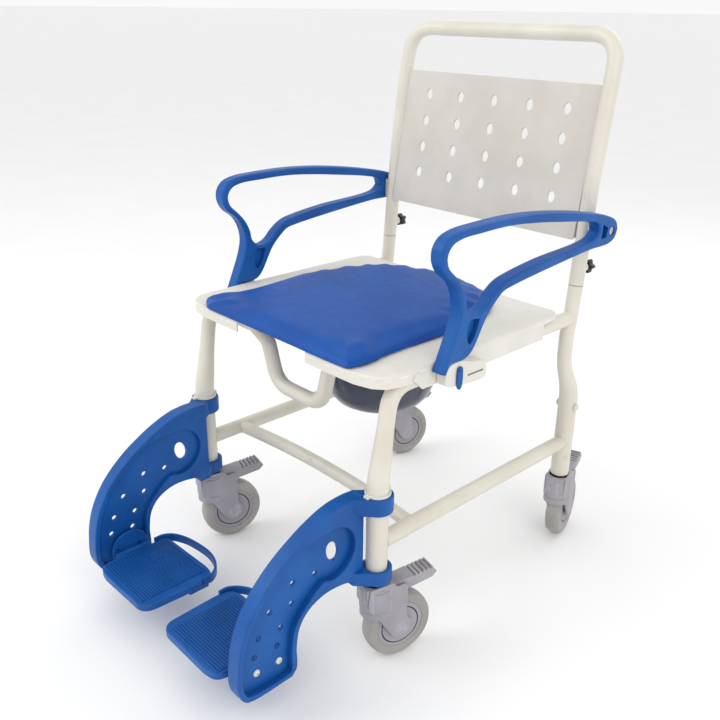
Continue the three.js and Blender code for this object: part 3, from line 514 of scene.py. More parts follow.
def tidy_loop(loop):
    """Counter-clockwise, without doubled points or points on a straight run."""
    if area(loop) < 0:
        loop = loop[::-1]
    apart = [p for i, p in enumerate(loop) if math.dist(p, loop[i - 1]) > 0.15]
    count = len(apart)
    straight = math.radians(1)
    return [p for i, p in enumerate(apart) if turn_at(apart[i - 1], p, apart[(i + 1) % count]) > straight]


# %% Rounding a coarse outline
def softened(loop, corner=48, step=4.0):
    """A spline through the loop's points that keeps corners sharper than corner degrees."""
    count = len(loop)
    limit = math.radians(corner)
    sharp = [turn_at(loop[i - 1], loop[i], loop[(i + 1) % count]) > limit for i in range(count)]
    rounded = []
    for i in range(count):
        p1, p2 = Vector(loop[i]), Vector(loop[(i + 1) % count])
        p0 = p1 * 2 - p2 if sharp[i] else Vector(loop[i - 1])
        p3 = p2 * 2 - p1 if sharp[(i + 1) % count] else Vector(loop[(i + 2) % count])
        pieces = max(1, math.ceil((p2 - p1).length / step))
        if sharp[i] and sharp[(i + 1) % count]:
            pieces = 1
        k0, k1, k2 = (max(1e-3, (b - a).length) ** 0.5 for a, b in ((p0, p1), (p1, p2), (p2, p3)))
        m1 = (p1 - p0) / k0 - (p2 - p0) / (k0 + k1) + (p2 - p1) / k1
        m2 = (p2 - p1) / k1 - (p3 - p1) / (k1 + k2) + (p3 - p2) / k2
        for j in range(pieces):
            t = j / pieces
            a, b = m1 * k1, m2 * k1
            h = p1 * (2 * t**3 - 3 * t**2 + 1) + a * (t**3 - 2 * t**2 + t)
            h += p2 * (3 * t**2 - 2 * t**3) + b * (t**3 - t**2)
            rounded.append((h.x, h.y))
    return rounded


def inset(loop, distance):
    """The loop moved inwards; it runs counter-clockwise."""
    moved_in = []
    for i, p in enumerate(loop):
        before, after = Vector(loop[i - 1]), Vector(loop[(i + 1) % len(loop)])
        along = (after - before).normalized()
        moved_in.append((p[0] - distance * along.y, p[1] + distance * along.x))
    return moved_in


def carved(bm, *cutters):
    """Cuts the cutters away from a piece with Boolean modifiers."""
    holders = []
    for part in (bm, *cutters):
        mesh = bpy.data.meshes.new("carving")
        part.to_mesh(mesh)
        part.free()
        holders.append(bpy.data.objects.new("carving", mesh))
        bpy.context.scene.collection.objects.link(holders[-1])
    for cutter in holders[1:]:
        boolean = holders[0].modifiers.new("cut", "BOOLEAN")
        boolean.operation = "DIFFERENCE"
        boolean.solver = "EXACT"
        boolean.object = cutter
    result = bmesh.new()
    result.from_object(holders[0], bpy.context.evaluated_depsgraph_get())
    for holder in holders:
        mesh = holder.data
        bpy.data.objects.remove(holder)
        bpy.data.meshes.remove(mesh)
    bmesh.ops.remove_doubles(result, verts=result.verts, dist=0.01)
    return result


def eased(bm, width, angle=40, steps=2):
    """A small bevel on every edge that is still sharp."""
    sharp = [e for e in bm.edges if len(e.link_faces) == 2 and e.calc_face_angle(0) > math.radians(angle)]
    bmesh.ops.bevel(
        bm,
        geom=sharp,
        offset=width,
        offset_type="OFFSET",
        affect="EDGES",
        segments=steps,
        profile=0.5,
        material=-1,
        clamp_overlap=True,
    )
    return bm


def recut(node, width=0.5):
    """A copy of a node's own shape with merged faces and eased edges, for small fittings."""
    bm = bmesh.new()
    bm.from_mesh(frame["nodes"][node].data)
    bmesh.ops.transform(bm, matrix=DRAWING.inverted(), verts=bm.verts)
    bmesh.ops.remove_doubles(bm, verts=bm.verts, dist=0.01)
    bmesh.ops.dissolve_limit(bm, angle_limit=math.radians(0.6), verts=bm.verts, edges=bm.edges)
    return eased(bm, width)


# %% [markdown]
# The legs are drawn tubes: 37 mm at the foot, tapering to 28 mm, the front ones bent back into the seat
# rails and the rear ones kinked below the seat and again up to the sockets of the backrest. Each rail and
# crossbar simply runs into its neighbour, as it does at a ground weld.

# %% Legs
LEG_FOOT_Z = 163.0
LEG_R = 18.5
LEG_TOP_R = 14.0
SEAT_RAIL_Z = 510.0
JOINT_Z = 574.0
JOINT_Y = 314.0
POST_SLOPE = 0.081
SPIGOT_R = 11.2


def tapered(low, high):
    def radius(p):
        t = min(max((p.z - low) / (high - low), 0.0), 1.0)
        return LEG_R + (LEG_TOP_R - LEG_R) * t * t * (3 - 2 * t)

    return radius


def front_leg():
    path = [
        (LEG_X, FRONT_LEG_Y, LEG_FOOT_Z),
        (LEG_X, FRONT_LEG_Y, 350, 190),
        (LEG_X, -177, SEAT_RAIL_Z, 44),
        (LEG_X, 306, SEAT_RAIL_Z),
    ]
    return tube(refilled(bent(path)), tapered(345, 455))


def rear_leg():
    path = [
        (LEG_X, REAR_LEG_Y, LEG_FOOT_Z),
        (LEG_X, REAR_LEG_Y + 1, 350, 110),
        (LEG_X, 302.5, 416, 110),
        (LEG_X, 302, 476, 120),
        (LEG_X, JOINT_Y - POST_SLOPE * 52, JOINT_Z - 52, 120),
        (LEG_X, JOINT_Y - POST_SLOPE, JOINT_Z - 1),
    ]
    spigot = rod((LEG_X, JOINT_Y - 2, JOINT_Z - 20), (LEG_X, JOINT_Y + 6.1, JOINT_Z + 75), SPIGOT_R)
    bush = turned([(0, -22), (6.7, -22), (7.5, -21.2), (7.5, 21.2), (6.7, 22), (0, 22)], 32)
    bush = moved(bush, Matrix.Translation((LEG_X, REAR_LEG_Y, 318)) @ Matrix.Rotation(math.pi / 2, 4, "Y"))
    return joined(tube(refilled(bent(path)), tapered(330, 425)), spigot, bush)


pair("front_leg", front_leg, POWDER_COAT)
pair("rear_leg", rear_leg, POWDER_COAT)

# %% Rails, crossbar and seat tubes
RAIL_Z = 236.0
RAIL_R = 14.5
INTO_LEG = LEG_R - 5


def side_rail():
    return rod((LEG_X, FRONT_LEG_Y + INTO_LEG, RAIL_Z), (LEG_X, REAR_LEG_Y - INTO_LEG, RAIL_Z), RAIL_R)


def lower_crossbar():
    half = LEG_X - RAIL_R + 5
    points = []
    for i in range(33):
        t = -1 + i / 16
        bow = 1 - t * t
        points.append(Vector((half * t, -116 + 12 * bow, RAIL_Z + 4 * bow)))
    return tube(points, lambda p: 12.5)


def front_seat_tube():
    half = [
        (LEG_X - 6, -164, SEAT_RAIL_Z, 0),
        (124, -160, SEAT_RAIL_Z - 4, 26),
        (84, -160, 486, 24),
        (62, -158, 408, 44),
    ]
    other = [(-x, y, z, r) for x, y, z, r in reversed(half)]
    return tube(refilled(bent(half + other)), lambda p: 13.5)


pair("side_rail", side_rail, POWDER_COAT)
finished("lower_crossbar", lower_crossbar(), POWDER_COAT)
finished("front_seat_tube", front_seat_tube(), POWDER_COAT)
rear_tube_ends = [(sign * (LEG_X - 6), 226, SEAT_RAIL_Z + 3) for sign in (-1, 1)]
finished("rear_seat_tube", rod(*rear_tube_ends, 10.5), POWDER_COAT)

# %% [markdown]
# The seat plate is one moulding: a flat top with a keyhole opening, and a thin skirt round its edge that is
# deep along the sides and shallow in front. The top is made again with a broadly rolled edge, and the walls
# below it keep the working model's shape, with their sharp edges eased.

# %% Seat plate
SEAT_TOP_Z = 537.0
TOP_DEPTH = 9.0
WALLS_BELOW_TOP = 6.0
BOSS_AT = (-138, 521)


def seat_plate():
    boss_profile = [(0, 0), (8, 0), (8, 3.2), (7, 4.4), (4.6, 4.4), (4.6, 3.0), (0, 3.0)]
    bosses = []
    for sign in (-1, 1):
        turn = Matrix.Translation((sign * 261.5, *BOSS_AT)) @ Matrix.Rotation(sign * math.pi / 2, 4, "Y")
        bosses.append(moved(turned(boss_profile, 32), turn))
    outline = softened(section("seat_plate", "z", 532.5)[0], 40)
    top = slab([outline], "z", SEAT_TOP_Z - TOP_DEPTH, SEAT_TOP_Z, roll=3.0)
    all_round = [(-400, -500), (400, -500), (400, 600), (-400, 600)]
    above = slab([all_round], "z", SEAT_TOP_Z - WALLS_BELOW_TOP, SEAT_TOP_Z + 20)
    walls = carved(recut("seat_plate", 0.3), above)
    return joined(top, walls, *bosses)


finished("seat_plate", seat_plate(), IVORY_PLASTIC)

# %% [markdown]
# The cushion is foam in a sealed skin: crowned on top, its rim rolled over and its sides pulled in between
# the corners. It starts a little under size, is remeshed into even cells and blown up as cloth, with its
# underside held flat where it lies on the seat.

# %% Cushion
CUSHION_CELL = 0.005
CUSHION_MOVE = 0.006
CUSHION_START = (0.985, 0.987, 0.86)
CUSHION_CROWN = 0.0035


def copied(node, name):
    source = frame["nodes"][node]
    bm = bmesh.new()
    bm.from_mesh(source.data)
    bmesh.ops.remove_doubles(bm, verts=bm.verts, dist=1e-5)
    mesh = bpy.data.meshes.new(name)
    bm.to_mesh(mesh)
    bm.free()
    made = bpy.data.objects.new(name, mesh)
    bpy.context.scene.collection.objects.link(made)
    return made


def applied(piece):
    """The piece with its modifiers made part of its mesh."""
    evaluated = piece.evaluated_get(bpy.context.evaluated_depsgraph_get())
    mesh = bpy.data.meshes.new_from_object(evaluated)
    piece.modifiers.clear()
    old = piece.data
    piece.data = mesh
    bpy.data.meshes.remove(old)
    return piece


def remeshed(piece, cell):
    remesh = piece.modifiers.new("cells", "REMESH")
    remesh.mode = "VOXEL"
    remesh.voxel_size = cell
    remesh.use_smooth_shade = True
    return applied(piece)


def inflated(piece, base_z, most):
    """Blows the piece up as cloth; the base stays where it is."""
    rest = [v.co.copy() for v in piece.data.vertices]
    held = piece.vertex_groups.new(name="base")
    held.add([v.index for v in piece.data.vertices if v.co.z < base_z + 0.003], 1.0, "REPLACE")
    cloth = piece.modifiers.new("skin", "CLOTH")
    cloth.settings.quality = 6
    cloth.settings.mass = 0.3
    cloth.settings.tension_stiffness = 12
    cloth.settings.bending_stiffness = 4
    cloth.settings.use_pressure = True
    cloth.settings.uniform_pressure_force = 4
    cloth.settings.vertex_group_mass = "base"
    cloth.settings.effector_weights.gravity = 0
    cloth.collision_settings.use_collision = False
    scene = bpy.context.scene
    for step in range(1, 21):
        scene.frame_set(step)
    applied(piece)
    scene.frame_set(1)
    for v, start in zip(piece.data.vertices, rest):
        move = v.co - start
        if move.length > most:
            v.co = start + move * (most / move.length)
    piece.vertex_groups.clear()
    return piece


def seat_cushion():
    low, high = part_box("seat_cushion")
    middle = (low + high) / 2
    pad = copied("seat_cushion", "seat_cushion_finished")
    for v in pad.data.vertices:
        v.co.x = middle.x + (v.co.x - middle.x) * CUSHION_START[0]
        v.co.y = middle.y + (v.co.y - middle.y) * CUSHION_START[1]
        v.co.z = low.z + (v.co.z - low.z) * CUSHION_START[2]
    remeshed(pad, CUSHION_CELL)
    inflated(pad, low.z, CUSHION_MOVE)
    for v in pad.data.vertices:
        v.co.z = max(v.co.z, low.z)
        sideways = (v.co.x - middle.x) / (high.x - low.x)
        lengthways = (v.co.y - middle.y) / (high.y - low.y)
        reach = Vector((sideways, lengthways)).length
        if v.co.z > middle.z:
            v.co.z += CUSHION_CROWN * max(0.0, 1 - 4 * reach * reach)
    even = pad.modifiers.new("even", "SMOOTH")
    even.factor = 0.5
    even.iterations = 4
    finer = pad.modifiers.new("finer", "SUBSURF")
    finer.levels = finer.render_levels = 1
    applied(pad)
    for polygon in pad.data.polygons:
        polygon.use_smooth = True
    pad.data.materials.clear()
    pad.data.materials.append(CUSHION_SKIN)
    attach(pad, "cushion")
    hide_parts("seat_cushion")
    return pad


cushion = seat_cushion()
print("cushion:", len(cushion.data.polygons), "faces")

# %% [markdown]
# The pan is a deep bowl with a wide rim, vacuum formed in smoked plastic. Its rim slides in two ivory
# channels under the seat.

# %% Pan and its rails
PAN_Y = 45.0
PAN_PROFILE = [
    (0, 338),
    (68, 338),
    (76, 339.2),
    (88, 346),
    (97, 357),
    (103, 368),
    (112, 393),
    (119, 420),
    (124, 458),
    (126, 489),
    (128, 492),
    (140.5, 492.6),
    (142, 494.2),
    (141.2, 496.6),
    (124, 497),
    (122.4, 494),
    (120.6, 458),
    (115.6, 421),
    (108.6, 394),
    (99.6, 370),
    (93.6, 359),
    (85, 349),
    (74, 342),
    (67, 341),
    (0, 341),
]
finished("pan", moved(turned(PAN_PROFILE, 96), Matrix.Translation((0, PAN_Y, 0))), SMOKED_PLASTIC)
pair("pan_rail", lambda: recut("left_pan_rail", 0.8), IVORY_PLASTIC)

# %% [markdown]
# The backrest is a hoop of tube over the two spigots, with a lug for each armrest pivot and a threaded nut
# for each clamping knob. The panel hangs between the posts; its 20 plain upright ovals drain water.

# %% Backrest hoop
HOOP_R = 14.2
HOOP_TOP_Z = 1013.0
KNOB_Z = 604.0
KNOB_Y = JOINT_Y + POST_SLOPE * (KNOB_Z - JOINT_Z)
ARM_PIVOT = (344.0, 680.0)


def both_sides(draw):
    other = draw()
    bmesh.ops.scale(other, vec=(-1, 1, 1), verts=other.verts)
    bmesh.ops.reverse_faces(other, faces=other.faces)
    return joined(draw(), other)


def hoop_fittings():
    y, z = ARM_PIVOT
    nose = oval(y + 1, z, 13, 13, 20)
    lug_outline = [(y - 30, z - 20), (y + 2, z - 14), *nose[16:], *nose[:5], (y - 30, z + 18)]
    lug = slab([lug_outline, oval(y, z, 4.4, 4.4, 20)], "x", LEG_X + 4, LEG_X + 17.6, roll=1.0, steps=2)
    nut = turned([(3.4, 9), (8, 9), (8, 21.2), (7.2, 22), (3.4, 22)], 32, closed=True)
    nut = moved(nut, Matrix.Translation((LEG_X, KNOB_Y, KNOB_Z)) @ Matrix.Rotation(-math.pi / 2, 4, "X"))
    return joined(lug, nut)


def back_hoop():
    side = [
        (LEG_X, JOINT_Y + POST_SLOPE, JOINT_Z + 1),
        (LEG_X, JOINT_Y + POST_SLOPE * 190, JOINT_Z + 190, 420),
        (LEG_X, 349, 905, 500),
        (LEG_X - 1, 367, HOOP_TOP_Z, 58),
    ]
    top = [(150, 372, HOOP_TOP_Z - 1, 60), (-150, 372, HOOP_TOP_Z - 1, 60)]
    other = [(-x, y, z, *r) for x, y, z, *r in reversed(side)]
    hoop = tube(refilled(bent(side + top + other, 14)), lambda p: HOOP_R)
    return joined(hoop, both_sides(hoop_fittings))


finished("back_hoop", back_hoop(), POWDER_COAT)

# %% Back panel
PANEL_HALF_WIDTH = 234.0
PANEL_BOTTOM = Vector((309, 658))
PANEL_TOP = Vector((352, 929))
SLOT_PITCH = (84.8, 53.2)
SLOT_TOP = 229.0
SLOT_RADII = (10.6, 8.0)
SHEET_HALF = 2.5


def back_panel():
    up = PANEL_TOP - PANEL_BOTTOM
    length = up.length
    w = PANEL_HALF_WIDTH
    corner = 3.0
    outline = [(corner, -w), (length - corner, -w), (length, -w + corner), (length, w - corner)]
    outline += [(length - corner, w), (corner, w), (0, w - corner), (0, -w + corner)]
    slots = []
    for row in range(4):
        for column in range(-2, 3):
            slots.append(oval(SLOT_TOP - row * SLOT_PITCH[1], column * SLOT_PITCH[0], *SLOT_RADII))
    sheet = slab([outline, *slots], "y", -SHEET_HALF, SHEET_HALF, roll=0.9, steps=3)
    flange_outline = [(4, w - 5), (length - 4, w - 5), (length - 4, w - 0.4), (4, w - 0.4)]
    flange = both_sides(lambda: slab([flange_outline], "y", 0, 9, roll=0.8, steps=2))
    panel = joined(sheet, flange)
    lean = math.atan2(up.x, up.y)
    return moved(panel, Matrix.Translation((0, *PANEL_BOTTOM)) @ Matrix.Rotation(-lean, 4, "X"))


finished("back_panel", back_panel(), PANEL_PLASTIC)


# %% Clamping knobs
def back_knob():
    lobes = []
    for k in range(80):
        angle = 2 * math.pi * k / 80
        radius = 11.6 + 2.2 * math.cos(5 * angle)
        lobes.append((KNOB_Z + radius * math.sin(angle), LEG_X + radius * math.cos(angle)))
    head = slab([lobes], "y", KNOB_Y + 25, KNOB_Y + 38, roll=2.4)
    hub = turned([(0, 22.4), (6.4, 22.4), (7, 23), (7, 27), (0, 27)], 32)
    stud = turned([(0, 12.2), (2.4, 12.2), (2.9, 12.8), (2.9, 27), (0, 27)], 20)
    cap = turned([(0, 36), (6.5, 36), (6.5, 38.2), (5.6, 39), (0, 39.4)], 32)
    to_knob = Matrix.Translation((LEG_X, KNOB_Y, KNOB_Z)) @ Matrix.Rotation(-math.pi / 2, 4, "X")
    metal = painted(moved(stud, to_knob), 1)
    return joined(head, moved(hub, to_knob), moved(cap, Matrix.Translation((0, -1.4, 0)) @ to_knob), metal)


pair("back_knob", back_knob, BLACK_PLASTIC, ZINC_PLATE)

# %% [markdown]
# The armrests are thick blue mouldings: a long open loop on a V-shaped foot. The outline comes from the
# working model, and the rims are rolled over broadly. The foot has a pocket in each face with a web left
# between them, and the rear end is lightened from outside.

# %% Armrests and their pivot pins
ARM_IN_X = 265.0
ARM_OUT_X = 291.0
FOOT_POCKET = [(-50, 600), (-54, 580), (-50, 564), (-44, 560), (-37, 568), (-28, 586), (-25, 600)]


def armrest():
    body = section("left_armrest", "x", 271)
    outer, hole = softened(body[0], 46), softened(body[1], 60)
    arm = slab([outer, hole], "x", ARM_IN_X, ARM_OUT_X, roll=4.6, steps=5)
    cutters = []
    for loop in section("left_armrest", "x", 281)[2:]:
        if abs(area(loop)) > 120 and min(y for y, z in loop) > 200:
            cutters.append(slab([softened(loop, 70, 2.5)], "x", ARM_IN_X + 10, ARM_OUT_X + 5))
    foot_core = softened(FOOT_POCKET, 80, 2.5)
    cutters.append(slab([foot_core], "x", ARM_IN_X - 5, ARM_IN_X + 8))
    cutters.append(slab([foot_core], "x", ARM_OUT_X - 9, ARM_OUT_X + 5))
    y, z = ARM_PIVOT
    bore = [(0, -5), (4.4, -5), (4.4, 20), (8.4, 20), (8.4, 34), (0, 34)]
    to_pivot = Matrix.Translation((ARM_IN_X, y, z)) @ Matrix.Rotation(math.pi / 2, 4, "Y")
    cutters.append(moved(turned(bore, 40), to_pivot))
    return eased(carved(arm, *cutters), 0.8, 55)


def arm_pivot_pin():
    profile = [(0, -18), (4, -18), (4, 20.6), (7.8, 20.6), (7.8, 23.2), (7.0, 24)]
    profile += [(3.2, 24), (2.6, 22.6), (0, 22.6)]
    to_pivot = Matrix.Translation((ARM_IN_X, *ARM_PIVOT)) @ Matrix.Rotation(math.pi / 2, 4, "Y")
    return moved(turned(profile, 40), to_pivot)


pair("armrest", armrest, BLUE_PLASTIC)
pair("arm_pivot_pin", arm_pivot_pin, ZINC_PLATE)

# %% Arm brackets and lock levers
BRACKET_IN_X = 264.8
BRACKET_OUT_X = 286.0
LEVER_PIVOT = (-63, 519)


def arm_bracket():
    loops = section("left_arm_bracket", "x", 270)
    block = slab([softened(loops[0], 50)], "x", BRACKET_IN_X, BRACKET_OUT_X, roll=2.2)
    slot = [(-40, 502), (0, 501.5), (0, 505), (-40, 505.5)]
    hole = oval(*LEVER_PIVOT, 3.4, 3.4, 24)
    cutters = [slab([slot], "x", BRACKET_OUT_X - 6, BRACKET_OUT_X + 5)]
    cutters.append(slab([hole], "x", BRACKET_OUT_X - 9, BRACKET_OUT_X + 5))
    return eased(carved(block, *cutters), 0.4, 60)


def arm_lock_lever():
    loops = section("left_arm_lock_lever", "x", 288.5)
    outline = softened(loops[0], 60, 2)
    blade = slab([outline], "x", BRACKET_OUT_X + 0.4, BRACKET_OUT_X + 4.6, roll=1.2, steps=3)
    pin = moved(
        turned([(0, -8), (3, -8), (3, 5.2), (2.4, 5.8), (0, 5.8)], 24),
        Matrix.Translation((BRACKET_OUT_X, *LEVER_PIVOT)) @ Matrix.Rotation(math.pi / 2, 4, "Y"),
    )
    return joined(blade, pin)


pair("arm_bracket", arm_bracket, IVORY_PLASTIC)
pair("arm_lock_lever", arm_lock_lever, BLUE_PLASTIC)

# %% [markdown]
# A footrest hanger is a ribbed moulding: a thin web inside a deep rim, with a rounded end to the recess
# round its hand opening, eight drain holes, and two collars that turn on the leg.

# %% Footrest hangers
HANGER_IN_X = 211.0
HANGER_OUT_X = 239.0
WEB_X = (220.0, 227.0)
RIM = 10.0
RECESS_END = (-287.0, 249.0)
RECESS_END_R = 47.0
HANGER_OUTLINE = [(-222, 166), (-222, 331), (-250, 333), (-287, 329), (-328, 314), (-358, 298), (-388, 279)]
HANGER_OUTLINE += [(-418, 254), (-442, 227), (-461, 195), (-472, 165), (-478, 130), (-479, 86), (-468, 64)]
HANGER_OUTLINE += [(-452, 58), (-376, 58), (-366, 70), (-365, 112), (-358, 146), (-341, 168)]
HANGER_OUTLINE += [(-309, 182), (-265, 181)]
COLLARS_Z = ((301.0, 331.0), (166.0, 192.0))


def collar(z0, z1):
    """A ring round the leg with a tongue that runs into the hanger."""
    points = [(HANGER_IN_X + 1, -245), (HANGER_OUT_X - 1, -245)]
    for k in range(33):
        angle = math.radians(-62 + 262 * k / 32)
        points.append((LEG_X + 26.5 * math.cos(angle), FRONT_LEG_Y + 26.5 * math.sin(angle)))
    points.append((HANGER_IN_X + 1, -222))
    return slab([points, oval(LEG_X, FRONT_LEG_Y, 19.1, 19.1, 48)], "z", z0, z1, roll=2.2, steps=3)


def footrest_hanger():
    loops = section("left_footrest_hanger", "x", sum(WEB_X) / 2)[1:]
    openings = [softened(loop, 75, 1.6) for loop in loops if max(y for y, z in loop) < -240]
    web = slab([softened(inset(HANGER_OUTLINE, 4), 50), *openings], "x", *WEB_X, roll=0.7, steps=2)
    far_part = [point for point in inset(HANGER_OUTLINE, RIM) if point[0] < -335]
    round_end = []
    for k in range(12):
        angle = math.radians(-115 + 20 * k)
        y = RECESS_END[0] + RECESS_END_R * math.cos(angle)
        z = RECESS_END[1] + RECESS_END_R * math.sin(angle)
        round_end.append((y, z))
    recess = softened(far_part + round_end, 70)
    rim = slab([softened(HANGER_OUTLINE, 50), recess], "x", HANGER_IN_X, HANGER_OUT_X, roll=2.2, steps=4)
    return joined(web, rim, *[collar(*span) for span in COLLARS_Z])


def hanger_screw(y, z):
    profile = [(0, -13.5), (2.8, -13.5), (2.8, 0.4), (6, 0.4), (5.6, 2.0), (4.2, 3.1)]
    profile += [(2.2, 3.6), (2.2, 1.8), (0, 1.6)]
    place = Matrix.Translation((WEB_X[1], y, z)) @ Matrix.Rotation(math.pi / 2, 4, "Y")
    return moved(turned(profile, 32), place)


pair("footrest_hanger", footrest_hanger, BLUE_PLASTIC)
pair("footrest_clip_ring", lambda: recut("left_footrest_clip_ring", 0.6), IVORY_PLASTIC)
pair("foot_hinge_bracket", lambda: recut("left_foot_hinge_bracket", 0.7), BLUE_PLASTIC)
pair("hanger_screw_1", lambda: hanger_screw(-438, 97), IVORY_PLASTIC)
pair("hanger_screw_2", lambda: hanger_screw(-394, 95), IVORY_PLASTIC)
pin_profile = [(0, -446), (2.4, -446), (3, -445.4), (3, -378.6), (2.4, -378), (0, -378)]
pin_turn = Matrix.Translation((199, 0, 89)) @ Matrix.Rotation(-math.pi / 2, 4, "X")
pair("foot_hinge_pin", lambda: moved(turned(pin_profile, 24), pin_turn), ZINC_PLATE)

# %% [markdown]
# The foot plates are shallow trays with a ribbed deck for grip. The ribs are real: each is a slim bar with
# a rolled top, sunk in the deck, so that they catch light from any side.

# %% Foot plates
PLATE_TOP_Z = 95.0
PLATE_BOTTOM_Z = 80.0
HINGE_X, HINGE_Z = 199.0, 89.0
BARREL_R = 6.5
RIB_PITCH = 5.2
RIB_WIDTH = 2.8
RIB_X = (46, 183)


def rib(y):
    front, rear = y - RIB_WIDTH / 2, y + RIB_WIDTH / 2
    outline = [(RIB_X[0], front), (RIB_X[1], front), (RIB_X[1], rear), (RIB_X[0], rear)]
    return slab([outline], "z", PLATE_TOP_Z - 3.4, PLATE_TOP_Z, roll=0.8, steps=2)


def foot_plate():
    outline = softened(section("left_foot_plate", "z", 84)[0], 50)
    outline = tidy_loop([(min(x, 190), y) for x, y in outline])
    rest = slab([outline], "z", PLATE_TOP_Z - 6, PLATE_TOP_Z - 2.0, roll=1.6, steps=3)
    skirt = slab([outline, inset(outline, 5)], "z", PLATE_BOTTOM_Z, PLATE_TOP_Z - 3, roll=1.2, steps=2)
    ribs = [rib(-480 + RIB_PITCH * i) for i in range(26)]
    barrels = []
    for y0, y1 in ((-446, -430.4), (-393.6, -378)):
        end_r = BARREL_R - 0.6
        profile = [(3.4, y0), (end_r, y0), (BARREL_R, y0 + 0.6), (BARREL_R, y1 - 0.6), (end_r, y1), (3.4, y1)]
        barrels.append(moved(turned(profile, 36, closed=True), pin_turn))
        tongue = [(184, y0), (HINGE_X - 3, y0), (HINGE_X - 3, y1), (184, y1)]
        barrels.append(slab([tongue], "z", HINGE_Z - 3, HINGE_Z + 5.4, roll=0.6, steps=2))
    rear_lip = [(29, -395), (34, -395), (34, -355), (29, -355)]
    lip = slab([rear_lip], "z", PLATE_BOTTOM_Z - 8, PLATE_BOTTOM_Z + 6, roll=1.0, steps=2)
    return joined(rest, skirt, *ribs, *barrels, lip)


def heel_loop():
    band = softened(section("left_heel_loop", "z", 91)[0], 55, 3)
    return slab([band], "z", 83, 99, roll=1.4, steps=3)


pair("foot_plate", foot_plate, BLUE_PLASTIC)
pair("heel_loop", heel_loop, BLUE_PLASTIC)

# %% [markdown]
# Each caster is made once round its own swivel axis, with the wheel trailing along +X, and turned to where
# it stands. The drum is turned with stepped rings and cut out for the wheel and the pedal, the cheeks taper
# to a nose at the axle, and the wheel is a tyre round a hub disc, with a near-black ring between them that
# is painted shade, standing in for the shadow in the gap.

# %% Casters
TRAIL = 42.0
WHEEL_R = 62.5
HEAD_TOP_Z = 159.4
CHEEKS_IN = 17.6
CHEEKS_OUT = 22.4
PEDAL_PIVOT = (38, 142)
PEDAL_HALF_WIDTH = 15.5
GROOVE_PITCH = 4.2
GROOVE_HALF = 0.7
GROOVE_DEPTH = 1.1
SWIVELS = {"front_left": 75, "front_right": 75, "rear_left": 107, "rear_right": 78}
CORNERS = {
    "front_left": (LEG_X, FRONT_LEG_Y),
    "front_right": (-LEG_X, FRONT_LEG_Y),
    "rear_left": (LEG_X, REAR_LEG_Y),
    "rear_right": (-LEG_X, REAR_LEG_Y),
}


def caster_place(corner):
    x, y = CORNERS[corner]
    return Matrix.Translation((x, y, 0)) @ Matrix.Rotation(math.radians(SWIVELS[corner]), 4, "Z")


def caster_section(part, y):
    """A cut through the front left caster, in its own frame."""
    return section("caster_" + part + "_front_left", "y", y, caster_place("front_left").inverted())


def across(profile, segments=64, closed=False, at=(TRAIL, WHEEL_R)):
    """A part turned round an axis that runs across the caster."""
    turn = Matrix.Translation((at[0], 0, at[1])) @ Matrix.Rotation(math.pi / 2, 4, "X")
    return moved(turned(profile, segments, closed), turn)


def caster_drum():
    profile = [(20, 96), (26, 96), (27, 97), (27, 108.6), (26, 109.6), (26, 111), (27.2, 112), (28, 113)]
    profile += [(28, 148), (27.2, 150.2), (25.4, 150.8), (25.4, 151.6), (24.6, 154.4), (22.8, 155.2)]
    profile += [(22.2, 155.8), (21.8, HEAD_TOP_Z - 0.8), (20.8, HEAD_TOP_Z), (5.5, HEAD_TOP_Z)]
    profile += [(5.5, 127), (20, 127)]
    room = across([(0, -CHEEKS_IN), (WHEEL_R + 3, -CHEEKS_IN), (WHEEL_R + 3, CHEEKS_IN), (0, CHEEKS_IN)], 96)
    pedal_slot = [(-CHEEKS_IN, 130.6), (CHEEKS_IN, 130.6), (CHEEKS_IN, 175), (-CHEEKS_IN, 175)]
    return carved(carved(turned(profile, 72, closed=True), room), slab([pedal_slot], "x", 25.6, 80))


def caster_housing():
    cheek_outline = softened(caster_section("housing", 20)[0], 55, 3)
    cheeks = []
    for low, high in ((CHEEKS_IN, CHEEKS_OUT), (-CHEEKS_OUT, -CHEEKS_IN)):
        cheeks.append(slab([cheek_outline], "y", low, high, roll=1.8, steps=3))
    crown = slab([softened(caster_section("housing", 9.0)[0], 40, 3)], "y", -CHEEKS_IN - 1, CHEEKS_IN + 1)
    caps = []
    for side in (-1, 1):
        face = side * (CHEEKS_OUT + 0.5)
        inner = face - side * 4
        profile = [(0, face), (13, face), (14.4, face - side * 1.3), (14.4, inner), (0, inner)]
        caps.append(across(profile, 48))
    axle = across([(0, -CHEEKS_IN - 1), (4.4, -CHEEKS_IN - 1), (4.4, CHEEKS_IN + 1), (0, CHEEKS_IN + 1)], 24)
    return joined(*cheeks, crown, caster_drum(), *caps, painted(axle, 1))


def mirrored_profile(half):
    return half + [(r, -z) for r, z in reversed(half)]


def caster_wheel():
    tyre = mirrored_profile([(44, -14.2), (46, -15.5), (54, -16), (58.6, -14.6), (61.4, -10.6), (62.5, -5)])
    hub = mirrored_profile([(5, -13.6), (16, -13.6), (18, -12.6), (33.4, -14), (34.6, -14)])
    rim = mirrored_profile([(37.0, -14.2), (43, -14.2), (44.6, -13.2)])
    # Painted shade: this ring between hub and rim is near-black to stand for the shadow in the gap.
    gap_shade_ring = mirrored_profile([(30, -12), (40, -12)])
    parts = [painted(across(tyre, 96, True), 0), painted(across(hub, 72, True), 1)]
    parts += [painted(across(rim, 96, True), 1), painted(across(gap_shade_ring, 72, True), 2)]
    return joined(*parts)


def height_at(loop, x):
    """The highest crossing of an outline at one x."""
    found = []
    for (z0, x0), (z1, x1) in zip(loop, loop[1:] + loop[:1]):
        if min(x0, x1) <= x <= max(x0, x1) and x0 != x1:
            found.append(z0 + (z1 - z0) * (x - x0) / (x1 - x0))
    return max(found)


